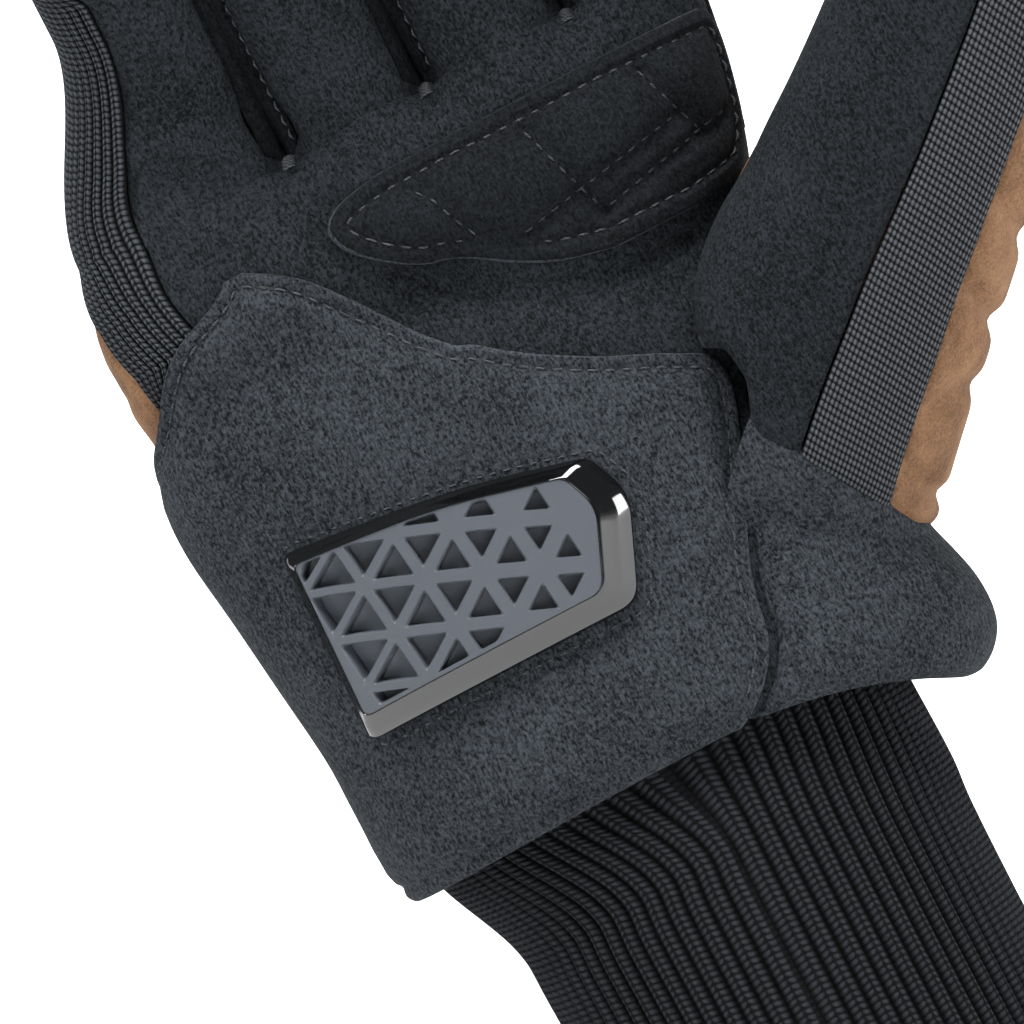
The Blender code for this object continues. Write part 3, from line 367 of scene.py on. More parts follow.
def picture_place(points):
    """Millimetres right of and below the photograph's top left corner, as the camera sees them: the
    offsets from the picture's middle grow with the camera's distance over the point's own."""
    offset = points - np.array(PICTURE_MIDDLE)
    growth = CAMERA_DISTANCE / (CAMERA_DISTANCE - offset @ np.array(towards_camera))
    right, up = offset @ np.array(picture_right) * growth, offset @ np.array(picture_up) * growth
    return (PICTURE_WIDTH / 2 + right) / MM, (PICTURE_WIDTH / 2 - up) / MM


def gap_to_line(right, down, x0, y0, x1, y1):
    """Distance from places in the picture to a straight line between two others."""
    part = ((right - x0) * (x1 - x0) + (down - y0) * (y1 - y0)) / ((x1 - x0) ** 2 + (y1 - y0) ** 2)
    part = np.clip(part, 0, 1)
    return np.hypot(right - x0 - part * (x1 - x0), down - y0 - part * (y1 - y0))


def folds(points, table):
    """Sum of the folds' depths: each runs on an arc through three places in the picture, and its
    depth falls off with the distance d from the arc as exp(-(d / half width)²)."""
    right, down = picture_place(points)
    relief = np.zeros(right.shape)
    for x0, y0, x1, y1, x2, y2, half_width, depth in table:
        share = np.linspace(0, 1, 15)
        middle_x, middle_y = 2 * x1 - (x0 + x2) / 2, 2 * y1 - (y0 + y2) / 2
        line_x = x0 * (1 - share) ** 2 + middle_x * 2 * share * (1 - share) + x2 * share**2
        line_y = y0 * (1 - share) ** 2 + middle_y * 2 * share * (1 - share) + y2 * share**2
        nearest = np.full(right.shape, np.inf)
        for a_x, a_y, b_x, b_y in zip(line_x, line_y, line_x[1:], line_y[1:]):
            nearest = np.minimum(nearest, gap_to_line(right, down, a_x, a_y, b_x, b_y))
        relief -= depth * np.exp(-(nearest / half_width) ** 2)
    return relief * MM


def quads(rows, columns, first=0):
    """Faces of a grid whose columns run to the right and rows upwards, seen from outside."""
    corner = (np.arange(rows - 1)[:, None] * columns + np.arange(columns - 1)[None, :]).ravel() + first
    return np.stack([corner, corner + 1, corner + columns + 1, corner + columns], -1)


def add_mesh(name, points, faces, material, sharp=50):
    """An object from points and faces in the row's frame, smooth but for edges over an angle."""
    mesh = bpy.data.meshes.new(name)
    mesh.from_pydata(points.tolist(), [], [face for part in faces for face in part.tolist()])
    mesh.materials.append(material)
    mesh.shade_smooth()
    mesh.set_sharp_from_angle(angle=math.radians(sharp))
    piece = bpy.data.objects.new(name, mesh)
    bpy.context.collection.objects.link(piece)
    return piece


def add_wall(name, outer, inner, faces, material, sharp=50):
    """A closed wall: outer faces, inner faces turned round, and a rim along each open edge."""
    count = len(outer)
    edges = np.vstack([np.stack([part, np.roll(part, -1, axis=1)], -1).reshape(-1, 2) for part in faces])
    key, reverse = edges[:, 0] * count + edges[:, 1], edges[:, 1] * count + edges[:, 0]
    open_edges = edges[~np.isin(reverse, key)]
    a, b = open_edges[:, 0], open_edges[:, 1]
    walls = list(faces) + [part[:, ::-1] + count for part in faces]
    walls.append(np.stack([b, a, a + count, b + count], -1))
    return add_mesh(name, np.vstack([outer, inner]), walls, material, sharp)


def distance_along(points, axis=0):
    """Distance from the first point along the rows (axis 0) or the columns (axis 1) of points."""
    steps = np.cumsum(np.linalg.norm(np.diff(points, axis=axis), axis=-1), axis=axis)
    return np.concatenate([np.zeros_like(np.take(steps, [0], axis)), steps], axis=axis)


def rolled_in(base, depth):
    """How far the cloth rolls in at the two long seams of a grid: depth · exp(-distance / 0.8 mm)."""
    across = distance_along(base, 1)
    return depth * np.exp(-np.minimum(across, across[:, -1:] - across) / (0.8 * MM))


def hand_and_fingers(side, lift_of, wall):
    """Outer and inner points and faces of the palm (side 1) or the back (side -1) with the four
    finger halves: lift_of gives the height of the cloth over the form at each point."""
    left_seam, right_seam = ("palm_left", "palm_right") if side > 0 else ("back_left", "back_right")
    turns_at_top = []
    for number, name in enumerate(FINGER_NAMES):
        own = finger(name)
        start, end = own[left_seam], own[right_seam]
        if side < 0:
            start, end = -180 - start, 180 - end
        angles = np.radians(np.linspace(start, end, FINGER_CELLS + 1))
        left, right = own["left_edge"] * PALM_WIDTH, own["right_edge"] * PALM_WIDTH
        places = (left + right) / 2 + (right - left) / 2 * rounded(np.sin(angles), FINGER_ROUNDNESS)
        if number > 0:
            places[0] = (left + finger(FINGER_NAMES[number - 1])["right_edge"] * PALM_WIDTH) / 2
            turns_at_top.pop()
        turns_at_top += list(top_turn(places))
    top = np.array(turns_at_top)
    share = np.linspace(0, 1, len(top))
    station = np.linspace(0, TOP_STATION, HAND_ROWS + 1)[:, None]
    margin = np.degrees(SEAM_HALF_GAP / (PALM_DEPTH / 2))
    left, right = seam_turn(left_seam, station), seam_turn(right_seam, station)
    if side < 0:
        left, right = -180 - left, 180 - right
    turn = top + (left + margin - top[0]) * (1 - share) ** 2 + (right - margin - top[-1]) * share**2
    turn = turn if side > 0 else 180 - turn
    base, normal = hand_surface(turn, station), hand_normal(turn, station)
    lift = lift_of(base) - rolled_in(base, SEAM_DIP) * (station < TOP_STATION - 0.3)
    outer = [(base + normal * lift[..., None]).reshape(-1, 3)]
    inner = [(base - normal * wall).reshape(-1, 3)]
    wide = len(top)
    faces = [quads(HAND_ROWS + 1, wide)]
    used = (HAND_ROWS + 1) * wide
    shares = 1 - (1 - np.linspace(0, 1, FINGER_ROWS + 2)[1:-1]) ** 1.25
    for number, name in enumerate(FINGER_NAMES):
        own = finger(name)
        radius = own["depth"] * FINGER_DEPTH / 2
        start, gap = closing_seam(own[left_seam], -90.0, shares, radius)
        end, _ = closing_seam(own[right_seam], 90.0, shares, radius)
        start, end = (start + gap, end - gap) if side > 0 else (start + 360 - gap, end + gap)
        turn = start[:, None] + (end - start)[:, None] * np.linspace(0, 1, FINGER_CELLS + 1)
        base = finger_surface(name)(turn, shares[:, None])
        normal = finger_normal(name, turn, shares[:, None])
        lift = lift_of(base) - rolled_in(base, SEAM_DIP)
        outer += [(base + normal * lift[..., None]).reshape(-1, 3), finger_tip(name, 0.0)[None]]
        inner += [(base - normal * wall).reshape(-1, 3), finger_tip(name, -wall)[None]]
        below = HAND_ROWS * wide + number * FINGER_CELLS + np.arange(FINGER_CELLS)
        first = used + np.arange(FINGER_CELLS)
        faces.append(np.stack([below, below + 1, first + 1, first], -1))
        faces.append(quads(FINGER_ROWS, FINGER_CELLS + 1, used))
        last = used + (FINGER_ROWS - 1) * (FINGER_CELLS + 1) + np.arange(FINGER_CELLS)
        tip = np.full(FINGER_CELLS, used + FINGER_ROWS * (FINGER_CELLS + 1))
        faces.append(np.stack([last, last + 1, tip], -1))
        used += FINGER_ROWS * (FINGER_CELLS + 1) + 1
    if side < 0:
        faces = [part[:, ::-1] for part in faces]
    return np.vstack(outer), np.vstack(inner), faces


def object_mm(tree):
    """The object's own coordinates in millimetres."""
    place = node(tree, "ShaderNodeTexCoord").outputs["Object"]
    return node(tree, "ShaderNodeVectorMath", {"operation": "SCALE"}, _0=place, Scale=1 / MM).outputs[0]


def noise(tree, place, scale, detail, roughness, distortion=0.0):
    return node(tree, "ShaderNodeTexNoise", Vector=place, Scale=scale, Detail=detail, Roughness=roughness,
                Distortion=distortion).outputs[0]


def maths(tree, operation, first, second=0.0, third=0.0):
    return node(tree, "ShaderNodeMath", {"operation": operation}, _0=first, _1=second, _2=third).outputs[0]


def colour_between(tree, shader, share, dark, light):
    """The base colour at a share between a dark and a light one."""
    mixed = node(tree, "ShaderNodeMix", {"data_type": "RGBA"}, _0=share, _6=srgb(dark), _7=srgb(light))
    tree.links.new(mixed.outputs[2], shader.inputs["Base Color"])


def bumps(tree, shader, height, strength, distance):
    bump = node(tree, "ShaderNodeBump", Strength=strength, Distance=distance, Height=height)
    tree.links.new(bump.outputs[0], shader.inputs["Normal"])


def microsuede(name, dark, light, marks):
    """Short brushed nap: specks about 0.5 mm across, soft marks where the nap lies another way, and
    a dull sheen on its upstanding hairs."""
    material, tree, shader = blank_material(name, 0.95, Specular_IOR_Level=0.12, Sheen_Weight=0.10,
                                            Sheen_Roughness=0.45, Sheen_Tint=srgb(light))
    in_mm = object_mm(tree)
    specks = noise(tree, in_mm, 1.7, 4.0, 0.68)
    hairs_place = node(tree, "ShaderNodeMapping", Vector=in_mm, Rotation=(0.0, math.radians(25), 0.0),
                       Scale=(3.2, 1.5, 1.0)).outputs[0]
    hairs = noise(tree, hairs_place, 1.0, 3.0, 0.6, 0.6)
    nap_marks = noise(tree, in_mm, 0.07, 3.0, 0.55)
    both = node(tree, "ShaderNodeMix", {"data_type": "FLOAT"}, Factor=0.45, A=specks, B=hairs).outputs[0]
    mixed = maths(tree, "ADD", both, maths(tree, "MULTIPLY_ADD", nap_marks, marks, -0.5 * marks))
    share = node(tree, "ShaderNodeMapRange", {"clamp": True}, Value=mixed, _1=0.41, _2=0.61).outputs[0]
    colour_between(tree, shader, share, dark, light)
    bumps(tree, shader, both, 1.0, 0.45 * MM)
    return material


# Right and down of three places on the fold, half width and depth, in picture millimetres
PALM_FOLDS = (
    (61, 40.2, 84, 43.0, 104, 35.6, 1.2, 2.6),
    (58, 41.0, 84, 44.0, 106, 36.5, 5.0, 1.6),
    (15, 17.0, 30, 17.5, 48, 20.0, 4.0, 1.2),
    (18, 29.0, 33, 29.0, 50, 31.5, 4.0, 1.3),
    (54, 4.0, 58, 9.0, 62, 12.0, 3.5, 0.8),
    (44, 26.0, 49, 33.0, 50, 38.0, 4.0, 0.8),
    (78, 2.0, 82, 6.0, 88, 8.0, 3.0, 0.6),
)
charcoal = microsuede("charcoal_microsuede", "#090a0c", "#2e3236", 0.12)
outer, inner, faces = hand_and_fingers(1, lambda points: folds(points, PALM_FOLDS), SUEDE_WALL)
palm = add_wall("palm_suede", outer, inner, faces, charcoal)
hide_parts("palm_panel")
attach(palm, "root")


# Back of the hand and finger backs: one piece of brown nubuck-like suede. It shows at the little
# finger's side, where it is drawn into shallow wrinkles beside the knit.
BACK_FOLDS = (
    (11.0, 44, 15, 52, 18, 60, 2.5, 0.9),
    (14.0, 60, 19, 66, 24, 70, 2.5, 0.8),
)


def nubuck(name, dark, light):
    """Fine sanded leather: specks of 0.3 mm, soft cloudy marks, and creases where it was bent."""
    material, tree, shader = blank_material(name, 0.9, Specular_IOR_Level=0.3, Sheen_Weight=0.25,
                                            Sheen_Roughness=0.5, Sheen_Tint=srgb(light))
    in_mm = object_mm(tree)
    specks = noise(tree, in_mm, 2.4, 3.0, 0.6)
    clouds = noise(tree, in_mm, 0.12, 4.0, 0.6)
    creases = noise(tree, in_mm, 0.45, 4.0, 0.55, 0.8)
    both = node(tree, "ShaderNodeMix", {"data_type": "FLOAT"}, Factor=0.6, A=specks, B=clouds).outputs[0]
    share = node(tree, "ShaderNodeMapRange", {"clamp": True}, Value=both, _1=0.36, _2=0.64).outputs[0]
    colour_between(tree, shader, share, dark, light)
    bumps(tree, shader, maths(tree, "MULTIPLY_ADD", creases, 1.6, specks), 0.8, 0.4 * MM)
    return material


brown = nubuck("brown_nubuck", "#553b28", "#8c6a4d")
outer, inner, faces = hand_and_fingers(-1, lambda points: folds(points, BACK_FOLDS), SUEDE_WALL)
back = add_wall("back_suede", outer, inner, faces, brown)
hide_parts("back_panel")
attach(back, "root")


# Strips between the fingers: thin suede sewn down the side of one finger, through the gap and up the
# side of the next.
STRIP_WALL = 1.6 * MM
FOURCHETTE_CELLS = 10
FOURCHETTE_ROWS = 30


def fourchette_rows(name, palm_seam, back_seam, lift):
    """Points across the side of one finger between its two seams, row by row from the gap. The
    strip swells towards the next finger by 0.45 mm, and by 1.95 mm further up."""
    own = finger(name)
    radius = own["depth"] * FINGER_DEPTH / 2
    shares = np.linspace(0.03, STRIP_END, FOURCHETTE_ROWS)
    closed = math.copysign(90.0, own[palm_seam])
    palm_turn, margin = closing_seam(own[palm_seam], closed, shares, radius)
    back_turn, _ = closing_seam(own[back_seam], closed, shares, radius)
    margin = margin * math.copysign(1, own[palm_seam])
    start, end = palm_turn + margin, back_turn - margin
    turn = start[:, None] + (end - start)[:, None] * np.linspace(0, 1, FOURCHETTE_CELLS + 1)
    swell = (0.45 + 1.5 * smooth_step(shares / 0.4))[:, None] * MM
    swell = swell * np.sin(np.linspace(0, math.pi, FOURCHETTE_CELLS + 1)) ** 0.7
    return finger_point(name, turn, shares[:, None], lift + swell)


strip_suede = microsuede("thin_strip_microsuede", "#08090a", "#222529", 0.1)
for left_name, right_name in zip(FINGER_NAMES, FINGER_NAMES[1:]):
    middle = (finger(left_name)["right_edge"] + finger(right_name)["left_edge"]) / 2 * PALM_WIDTH
    gap_turn = float(top_turn(np.array(middle)))
    front_edge, back_edge = hand_surface(gap_turn, TOP_STATION), hand_surface(180 - gap_turn, TOP_STATION)
    depths = np.linspace(front_edge[1], back_edge[1], FOURCHETTE_CELLS + 1)
    floor = np.stack([np.full_like(depths, middle), depths, np.full_like(depths, front_edge[2])], -1)
    layers = []
    for depth in (0.0, STRIP_WALL):
        layers.append(np.vstack([
            fourchette_rows(left_name, "palm_right", "back_right", -depth)[::-1].reshape(-1, 3),
            floor - np.array([0.0, 0.0, depth]),
            fourchette_rows(right_name, "palm_left", "back_left", -depth).reshape(-1, 3)]))
    faces = quads(2 * FOURCHETTE_ROWS + 1, FOURCHETTE_CELLS + 1)[:, ::-1]
    strip = add_wall("strip_" + left_name + "_" + right_name, *layers, [faces], strip_suede)
    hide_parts("fourchette_" + left_name + "_" + right_name)
    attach(strip, "root")


# Stretch gusset along the little finger's side: black rib knit, nine ribs that run from the heel to
# the fingertip. Each rib is a row of loops. The plain suede strip on the index finger's side is cut
# and sewn in the same way.
GUSSET_RIBS = 9
GUSSET_RIB_DEPTH = 0.7 * MM
CELLS_PER_RIB = 8
STRIPS_START = 10
LOOP_LENGTH = 1.05 * MM
INDEX_STRIP_CELLS = 16


def rib_wave(cells, depth):
    """How far below the ribs' tops each column lies: ridges with narrow grooves between them, the
    depth times the sixth power of the cosine."""
    phase = np.arange(cells + 1) / CELLS_PER_RIB * math.pi
    return depth * np.cos(phase) ** 6


def mark_cloth(piece, across, along_cloth):
    """Stores each point's place on the flat knit, in ribs across and loops along."""
    values = np.zeros((len(piece.data.vertices), 3), np.float32)
    flat = np.stack([across.ravel(), along_cloth.ravel()], -1)
    values[:, :2] = np.tile(flat, (len(values) // len(flat), 1))
    layer = piece.data.attributes.new("knit_place", "FLOAT_VECTOR", "POINT")
    layer.data.foreach_set("vector", values.ravel())


def rib_knit(name, dark, light, loops_across, slant=0.55, ribs=1.0):
    """Yarn in loops: each loop is a bright oval, which leans left or right by turns where it has a slant, and
    the dark shows between loops. With ribs at 1 the colour is also darkened in the grooves between ribs,
    which is painted shade. The place is in ribs across and loops along."""
    material, tree, shader = blank_material(name, 0.9, Specular_IOR_Level=0.15, Sheen_Weight=0.06,
                                            Sheen_Roughness=0.5, Sheen_Tint=srgb(light))
    place = node(tree, "ShaderNodeAttribute", {"attribute_name": "knit_place"}).outputs["Vector"]
    parts = node(tree, "ShaderNodeSeparateXYZ", Vector=place)

    half = maths(tree, "MULTIPLY", parts.outputs["X"], loops_across)
    in_half = maths(tree, "SUBTRACT", maths(tree, "FRACT", half), 0.5)
    odd = maths(tree, "FRACT", maths(tree, "MULTIPLY", maths(tree, "FLOOR", half), 0.5))
    parity = maths(tree, "SUBTRACT", maths(tree, "MULTIPLY", odd, 4.0), 1.0)
    leaning = maths(tree, "MULTIPLY", in_half, parity)
    loops_up = maths(tree, "MULTIPLY_ADD", leaning, slant, parts.outputs["Y"])
    in_loop = maths(tree, "SUBTRACT", maths(tree, "FRACT", loops_up), 0.5)
    long_way = maths(tree, "POWER", maths(tree, "ABSOLUTE", maths(tree, "MULTIPLY", in_loop, 2.0)), 2.0)
    wide_way = maths(tree, "POWER", maths(tree, "ABSOLUTE", maths(tree, "MULTIPLY", in_half, 2.0)), 2.0)
    loop = maths(tree, "MAXIMUM", maths(tree, "SUBTRACT", 1.0, maths(tree, "ADD", long_way, wide_way)), 0.0)
    fluff = noise(tree, object_mm(tree), 2.6, 3.0, 0.65)
    # Painted shade: with ribs at 1 the colour darkens towards the grooves between ribs.
    across = maths(tree, "MULTIPLY", parts.outputs["X"], math.pi * ribs)
    ridge = maths(tree, "ABSOLUTE", maths(tree, "SINE", across))
    bright = maths(tree, "MULTIPLY", loop, maths(tree, "MULTIPLY_ADD", ridge, 0.8 * ribs, 1.0 - 0.8 * ribs))
    share = maths(tree, "MULTIPLY", bright, maths(tree, "MULTIPLY_ADD", fluff, 1.4, 0.15))
    colour_between(tree, shader, share, dark, light)
    bumps(tree, shader, maths(tree, "MULTIPLY_ADD", fluff, 0.35, loop), 0.9, 0.35 * MM)
    return material


def side_strip(name, finger_name, palm_seam, back_seam, cells, waves, wall, material):
    """Strip from the hand up the outer side of the first or last finger."""
    own = finger(finger_name)
    outward = math.copysign(1, own[palm_seam])
    share = np.linspace(0, 1, cells + 1)
    station = np.linspace(STRIPS_START, TOP_STATION, 50)
    margin = outward * np.degrees(SEAM_HALF_GAP / (PALM_DEPTH / 2))
    start, end = seam_turn(palm_seam, station) + margin, seam_turn(back_seam, station) - margin
    on_hand = start[:, None] + (end - start)[:, None] * share
    shares = np.linspace(0.02, STRIP_END, 80)
    palm_turn, gap = closing_seam(own[palm_seam], 90.0 * outward, shares, own["depth"] * FINGER_DEPTH / 2)
    back_turn, _ = closing_seam(own[back_seam], 90.0 * outward, shares, own["depth"] * FINGER_DEPTH / 2)
    start, end = palm_turn + gap * outward, back_turn - gap * outward
    on_finger = start[:, None] + (end - start)[:, None] * share
    layers = []
    for lift in (-waves, np.full(cells + 1, -wall)):
        layers.append(np.vstack([hand_point(on_hand, station[:, None], lift).reshape(-1, 3),
                                 finger_point(finger_name, on_finger, shares[:, None], lift).reshape(-1, 3)]))
    rows = len(station) + len(shares)
    faces = quads(rows, cells + 1)
    piece = add_wall(name, *layers, [faces if outward > 0 else faces[:, ::-1]], material)
    middle = layers[0].reshape(rows, cells + 1, 3)[:, cells // 2]
    run = distance_along(middle) / LOOP_LENGTH
    mark_cloth(piece, np.broadcast_to(np.arange(cells + 1) / CELLS_PER_RIB, (rows, cells + 1)),
               np.broadcast_to(run[:, None], (rows, cells + 1)))
    return piece


# The knit's grooves between ribs are darkened with painted shade.
strip_knit = rib_knit("black_gusset_knit", "#050506", "#585c62", 2.0)
gusset_cells = GUSSET_RIBS * CELLS_PER_RIB
gusset = side_strip("little_gusset_knit", "little", "palm_left", "back_left", gusset_cells,
                    rib_wave(gusset_cells, GUSSET_RIB_DEPTH), STRIP_WALL + GUSSET_RIB_DEPTH, strip_knit)
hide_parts("little_side_gusset")
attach(gusset, "root")
index_strip = side_strip("index_strip_suede", "index", "palm_right", "back_right", INDEX_STRIP_CELLS,
                         np.zeros(INDEX_STRIP_CELLS + 1), STRIP_WALL, strip_suede)
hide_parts("index_side_strip")
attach(index_strip, "root")


# Heel patch: a second layer of microsuede over foam, from the wrist to below the fingers, wrapped
# round the little finger's side. Its cut edge lies flat and shows a thin line, a dashed stitch runs
# 2.2 mm inside it, and the foam swells inside the stitch.
PATCH_CELLS = 170
PATCH_ROWS = 220
HEEL_PATCH_ROWS = (
    (0.75, -97.5, 8), (1.6, -98, 9.5), (2.7, -98, 12.5), (4.0, -98, 18), (5.0, -98, 23.5),
    (6.0, -98, 34.5), (6.7, -98, 39.5), (7.1, -98, 37.5), (7.35, -98, 29), (7.8, -97.5, 13.5), (8.4, -96, 3),
    (9.2, -90, -2.2), (10.1, -67, -7), (11.0, -47, -13), (11.45, -32, -18.5), (11.72, -27.5, -23.5),
)
# Distance from the cut edge and height over the palm, mm
HEEL_PROFILE = ((0.0, 0.5), (0.25, 1.15), (1.1, 1.35), (2.0, 1.05), (2.4, 1.05), (3.2, 1.75), (5.0, 2.35),
                (9.0, 2.75), (30.0, 2.9))
STITCH_INSET = 2.2 * MM
PATCH_SINK = 0.25 * MM


def edge_distance(points, outline):
    """Distance of each point to the nearest piece of a closed outline."""
    nearest = np.full(len(points), np.inf)
    for start, end in zip(outline, np.roll(outline, -1, axis=0)):
        side = end - start
        part = np.clip((points - start) @ side / max(side @ side, 1e-16), 0, 1)
        nearest = np.minimum(nearest, np.linalg.norm(points - start - part[:, None] * side, axis=1))
    return nearest


def outline_of(grid):
    """The edge of a grid as one closed line."""
    return np.concatenate([grid[0], grid[1:, -1], grid[-1, -2::-1], grid[-2:0:-1, 0]])


def patch(rows, cells_across, cells_up):
    """Grid over a sewn-on piece: smooth curves through the ends of its rows. Gives base points,
    normals and the distance of each point to the piece's edge."""
    place = np.linspace(0, len(rows) - 1, cells_up + 1)
    station, left, right = np.moveaxis(along(np.array(rows), place), -1, 0)
    turn = left[:, None] + (right - left)[:, None] * np.linspace(0, 1, cells_across + 1)
    station = np.broadcast_to(station[:, None], turn.shape)
    base, normal = hand_surface(turn, station), hand_normal(turn, station)
    return base, normal, edge_distance(base.reshape(-1, 3), outline_of(base)).reshape(turn.shape)


def profile_height(distance, profile):
    table = np.array(profile) * MM
    return np.interp(distance, table[:, 0], table[:, 1])


def border(grid, normal, inset, skip_bottom=False):
    """Line that runs at an inset from the edge of a patch: points and normals in order, found where
    the outline steps inwards along the surface."""
    ring, up = outline_of(grid), outline_of(normal)
    length = distance_along(ring)
    even = np.arange(0, length[-1], 0.5 * MM)
    ring = np.stack([np.interp(even, length, ring[:, axis]) for axis in range(3)], -1)
    up = np.stack([np.interp(even, length, up[:, axis]) for axis in range(3)], -1)
    ahead = np.roll(ring, -3, axis=0) - np.roll(ring, 3, axis=0)
    inward = np.cross(up, ahead)
    inward /= np.linalg.norm(inward, axis=1, keepdims=True)
    line = ring + inward * inset
    keep = edge_distance(line, ring) > inset * 0.96
    if skip_bottom:
        keep &= line[:, 2] > grid[0, :, 2].max() + inset
    return line, up, keep


STITCH_SIDES, STITCH_RINGS = 6, 5


def strokes(name, centre, lift, thread, material):
    """Strokes of thread, one to each row of places: each is a capsule of six sides whose ends dip
    into the cloth."""
    share = np.linspace(0, 1, STITCH_RINGS)
    lift = lift / np.linalg.norm(lift, axis=-1, keepdims=True)
    ahead = np.gradient(centre, axis=1)
    ahead /= np.linalg.norm(ahead, axis=-1, keepdims=True)
    side = np.cross(ahead, lift)
    bow = np.sin(share * math.pi)
    radius = thread / 2 * (0.35 + 0.65 * bow)[:, None, None]
    centre = centre + lift * (bow * thread * 0.75 - thread * 0.35)[:, None]
    around = np.arange(STITCH_SIDES) * 2 * math.pi / STITCH_SIDES
    ring = (side[:, :, None] * np.cos(around)[:, None] + lift[:, :, None] * np.sin(around)[:, None]) * radius
    points = (centre[:, :, None] + ring).reshape(-1, 3)
    r, s = np.meshgrid(np.arange(STITCH_RINGS - 1), np.arange(STITCH_SIDES), indexing="ij")
    first, beside = r * STITCH_SIDES + s, r * STITCH_SIDES + (s + 1) % STITCH_SIDES
    one = np.stack([first, beside, beside + STITCH_SIDES, first + STITCH_SIDES], -1).reshape(-1, 4)
    each = (np.arange(len(centre)) * STITCH_RINGS * STITCH_SIDES)[:, None, None]
    sides = (one[None] + each).reshape(-1, 4)[:, ::-1]
    cap = np.arange(STITCH_SIDES)
    far_end = (STITCH_RINGS - 1) * STITCH_SIDES
    ends = np.concatenate([cap[None] + each[:, 0], cap[::-1][None] + each[:, 0] + far_end])
    piece = add_mesh(name, points, [sides, ends], material, 80)
    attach(piece, "root")
    return piece


def stitches(name, line, up, pitch, length, thread, material, closed=True):
    """Even dashes of thread along a line."""
    if closed:
        line, up = np.vstack([line, line[:1]]), np.vstack([up, up[:1]])
    run = distance_along(line)
    starts = np.arange(pitch / 2, run[-1] - length, pitch)
    share = np.linspace(0, 1, STITCH_RINGS)
    where = starts[:, None] + share * length
    centre = np.stack([np.interp(where, run, line[:, axis]) for axis in range(3)], -1)
    lift = np.stack([np.interp(where, run, up[:, axis]) for axis in range(3)], -1)
    return strokes(name, centre, lift, thread, material)


def runs_of(line, up, keep):
    """The longest run of kept points of a closed line."""
    if keep.all():
        return line, up, True
    first = int(np.argmin(keep))
    line, up, keep = (np.roll(values, -first, axis=0) for values in (line, up, keep))
    return line[keep], up[keep], False


def sewing_thread(name, dark, light):
    """Twisted polyester thread: fine slanting bands of light and dark, 0.35 mm apart."""
    material, tree, shader = blank_material(name, 0.6, Specular_IOR_Level=0.4)
    twist = node(tree, "ShaderNodeTexWave", {"bands_direction": "DIAGONAL"}, Vector=object_mm(tree),
                 Scale=1.1, Distortion=1.5).outputs["Color"]
    colour_between(tree, shader, twist, dark, light)
    return material


def show_cut_edge(piece, rows, cells):
    """Gives the outermost cells of a patch and its rim the paler colour of the cut cloth."""
    piece.data.materials.append(cut_edge)
    row, column = np.divmod(np.arange(rows * cells), cells)
    outermost = (row == 0) | (row == rows - 1) | (column == 0) | (column == cells - 1)
    index = np.ones(len(piece.data.polygons), np.int32)
    index[:2 * rows * cells] = 0
    index[:rows * cells][outermost] = 1
    piece.data.polygons.foreach_set("material_index", index)


cut_edge = microsuede("cut_suede_edge", "#1c1e21", "#4b4f55", 0.1)
# Painted light: the heel patch takes a lighter copy of the palm's microsuede, for the light that falls on it
# from above.
patch_suede = microsuede("heel_patch_microsuede_painted_light", "#0e1012", "#3f4348", 0.12)
charcoal_thread = sewing_thread("charcoal_polyester_thread", "#121315", "#45484d")
base, normal, distance = patch(HEEL_PATCH_ROWS, PATCH_CELLS, PATCH_ROWS)
lift = profile_height(distance, HEEL_PROFILE)
outer = base + normal * lift[..., None]
inner = base - normal * PATCH_SINK
heel = add_wall("heel_patch_suede", outer.reshape(-1, 3), inner.reshape(-1, 3),
                [quads(PATCH_ROWS + 1, PATCH_CELLS + 1)], patch_suede)
show_cut_edge(heel, PATCH_ROWS, PATCH_CELLS)
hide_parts("heel_patch")
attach(heel, "root")
stitch_line, stitch_up, keep = border(base, normal, STITCH_INSET, skip_bottom=True)
stitch_line, stitch_up, closed = runs_of(stitch_line, stitch_up, keep)
stitch_line = stitch_line + stitch_up * profile_height(np.array(STITCH_INSET), HEEL_PROFILE)
stitches("heel_patch_stitches", stitch_line, stitch_up, 2.6 * MM, 1.9 * MM, 0.42 * MM, charcoal_thread,
         closed)


# Finger seams: a dashed stitch on the right side of each slit between two fingers, and a bar of
# close stitches that ends the slit.
FINGER_STITCH_INSET = 2.0 * MM
BARTACK_LENGTH, BARTACK_STEP, BARTACK_STROKES = 2.2 * MM, 0.42 * MM, 6
slit_thread = sewing_thread("grey_polyester_thread", "#17191b", "#45484d")
bar_centres, bar_lifts = [], []
for name, before in zip(FINGER_NAMES[1:], FINGER_NAMES):
    own = finger(name)
    radius = own["depth"] * FINGER_DEPTH / 2
    shares = np.linspace(0.01, 0.6, 90)
    turn, _ = closing_seam(own["palm_left"], -90.0, shares, radius)
    turn = turn + np.degrees(FINGER_STITCH_INSET / radius)
    line, up = finger_point(name, turn, shares, 0.05 * MM), finger_normal(name, turn, shares)
    stitches("slit_stitches_" + name, line, up, 2.4 * MM, 1.7 * MM, 0.36 * MM, slit_thread, False)
    middle = (finger(before)["right_edge"] + own["left_edge"]) / 2 * PALM_WIDTH
    gap_turn = float(top_turn(np.array(middle)))
    degree = abs(hand_surface(gap_turn + 1, 12.6)[0] - hand_surface(gap_turn, 12.6)[0])
    turn = gap_turn + np.linspace(-0.5, 0.5, STITCH_RINGS) * BARTACK_LENGTH / degree
    station = 12.97 - np.arange(BARTACK_STROKES)[:, None] * BARTACK_STEP / (0.093 * PALM_LENGTH)
    bar_centres.append(hand_point(turn, station, 0.1 * MM))
    bar_lifts.append(hand_normal(turn, station + 0 * turn))
strokes("slit_bartacks", np.concatenate(bar_centres), np.concatenate(bar_lifts), 0.46 * MM, slit_thread)


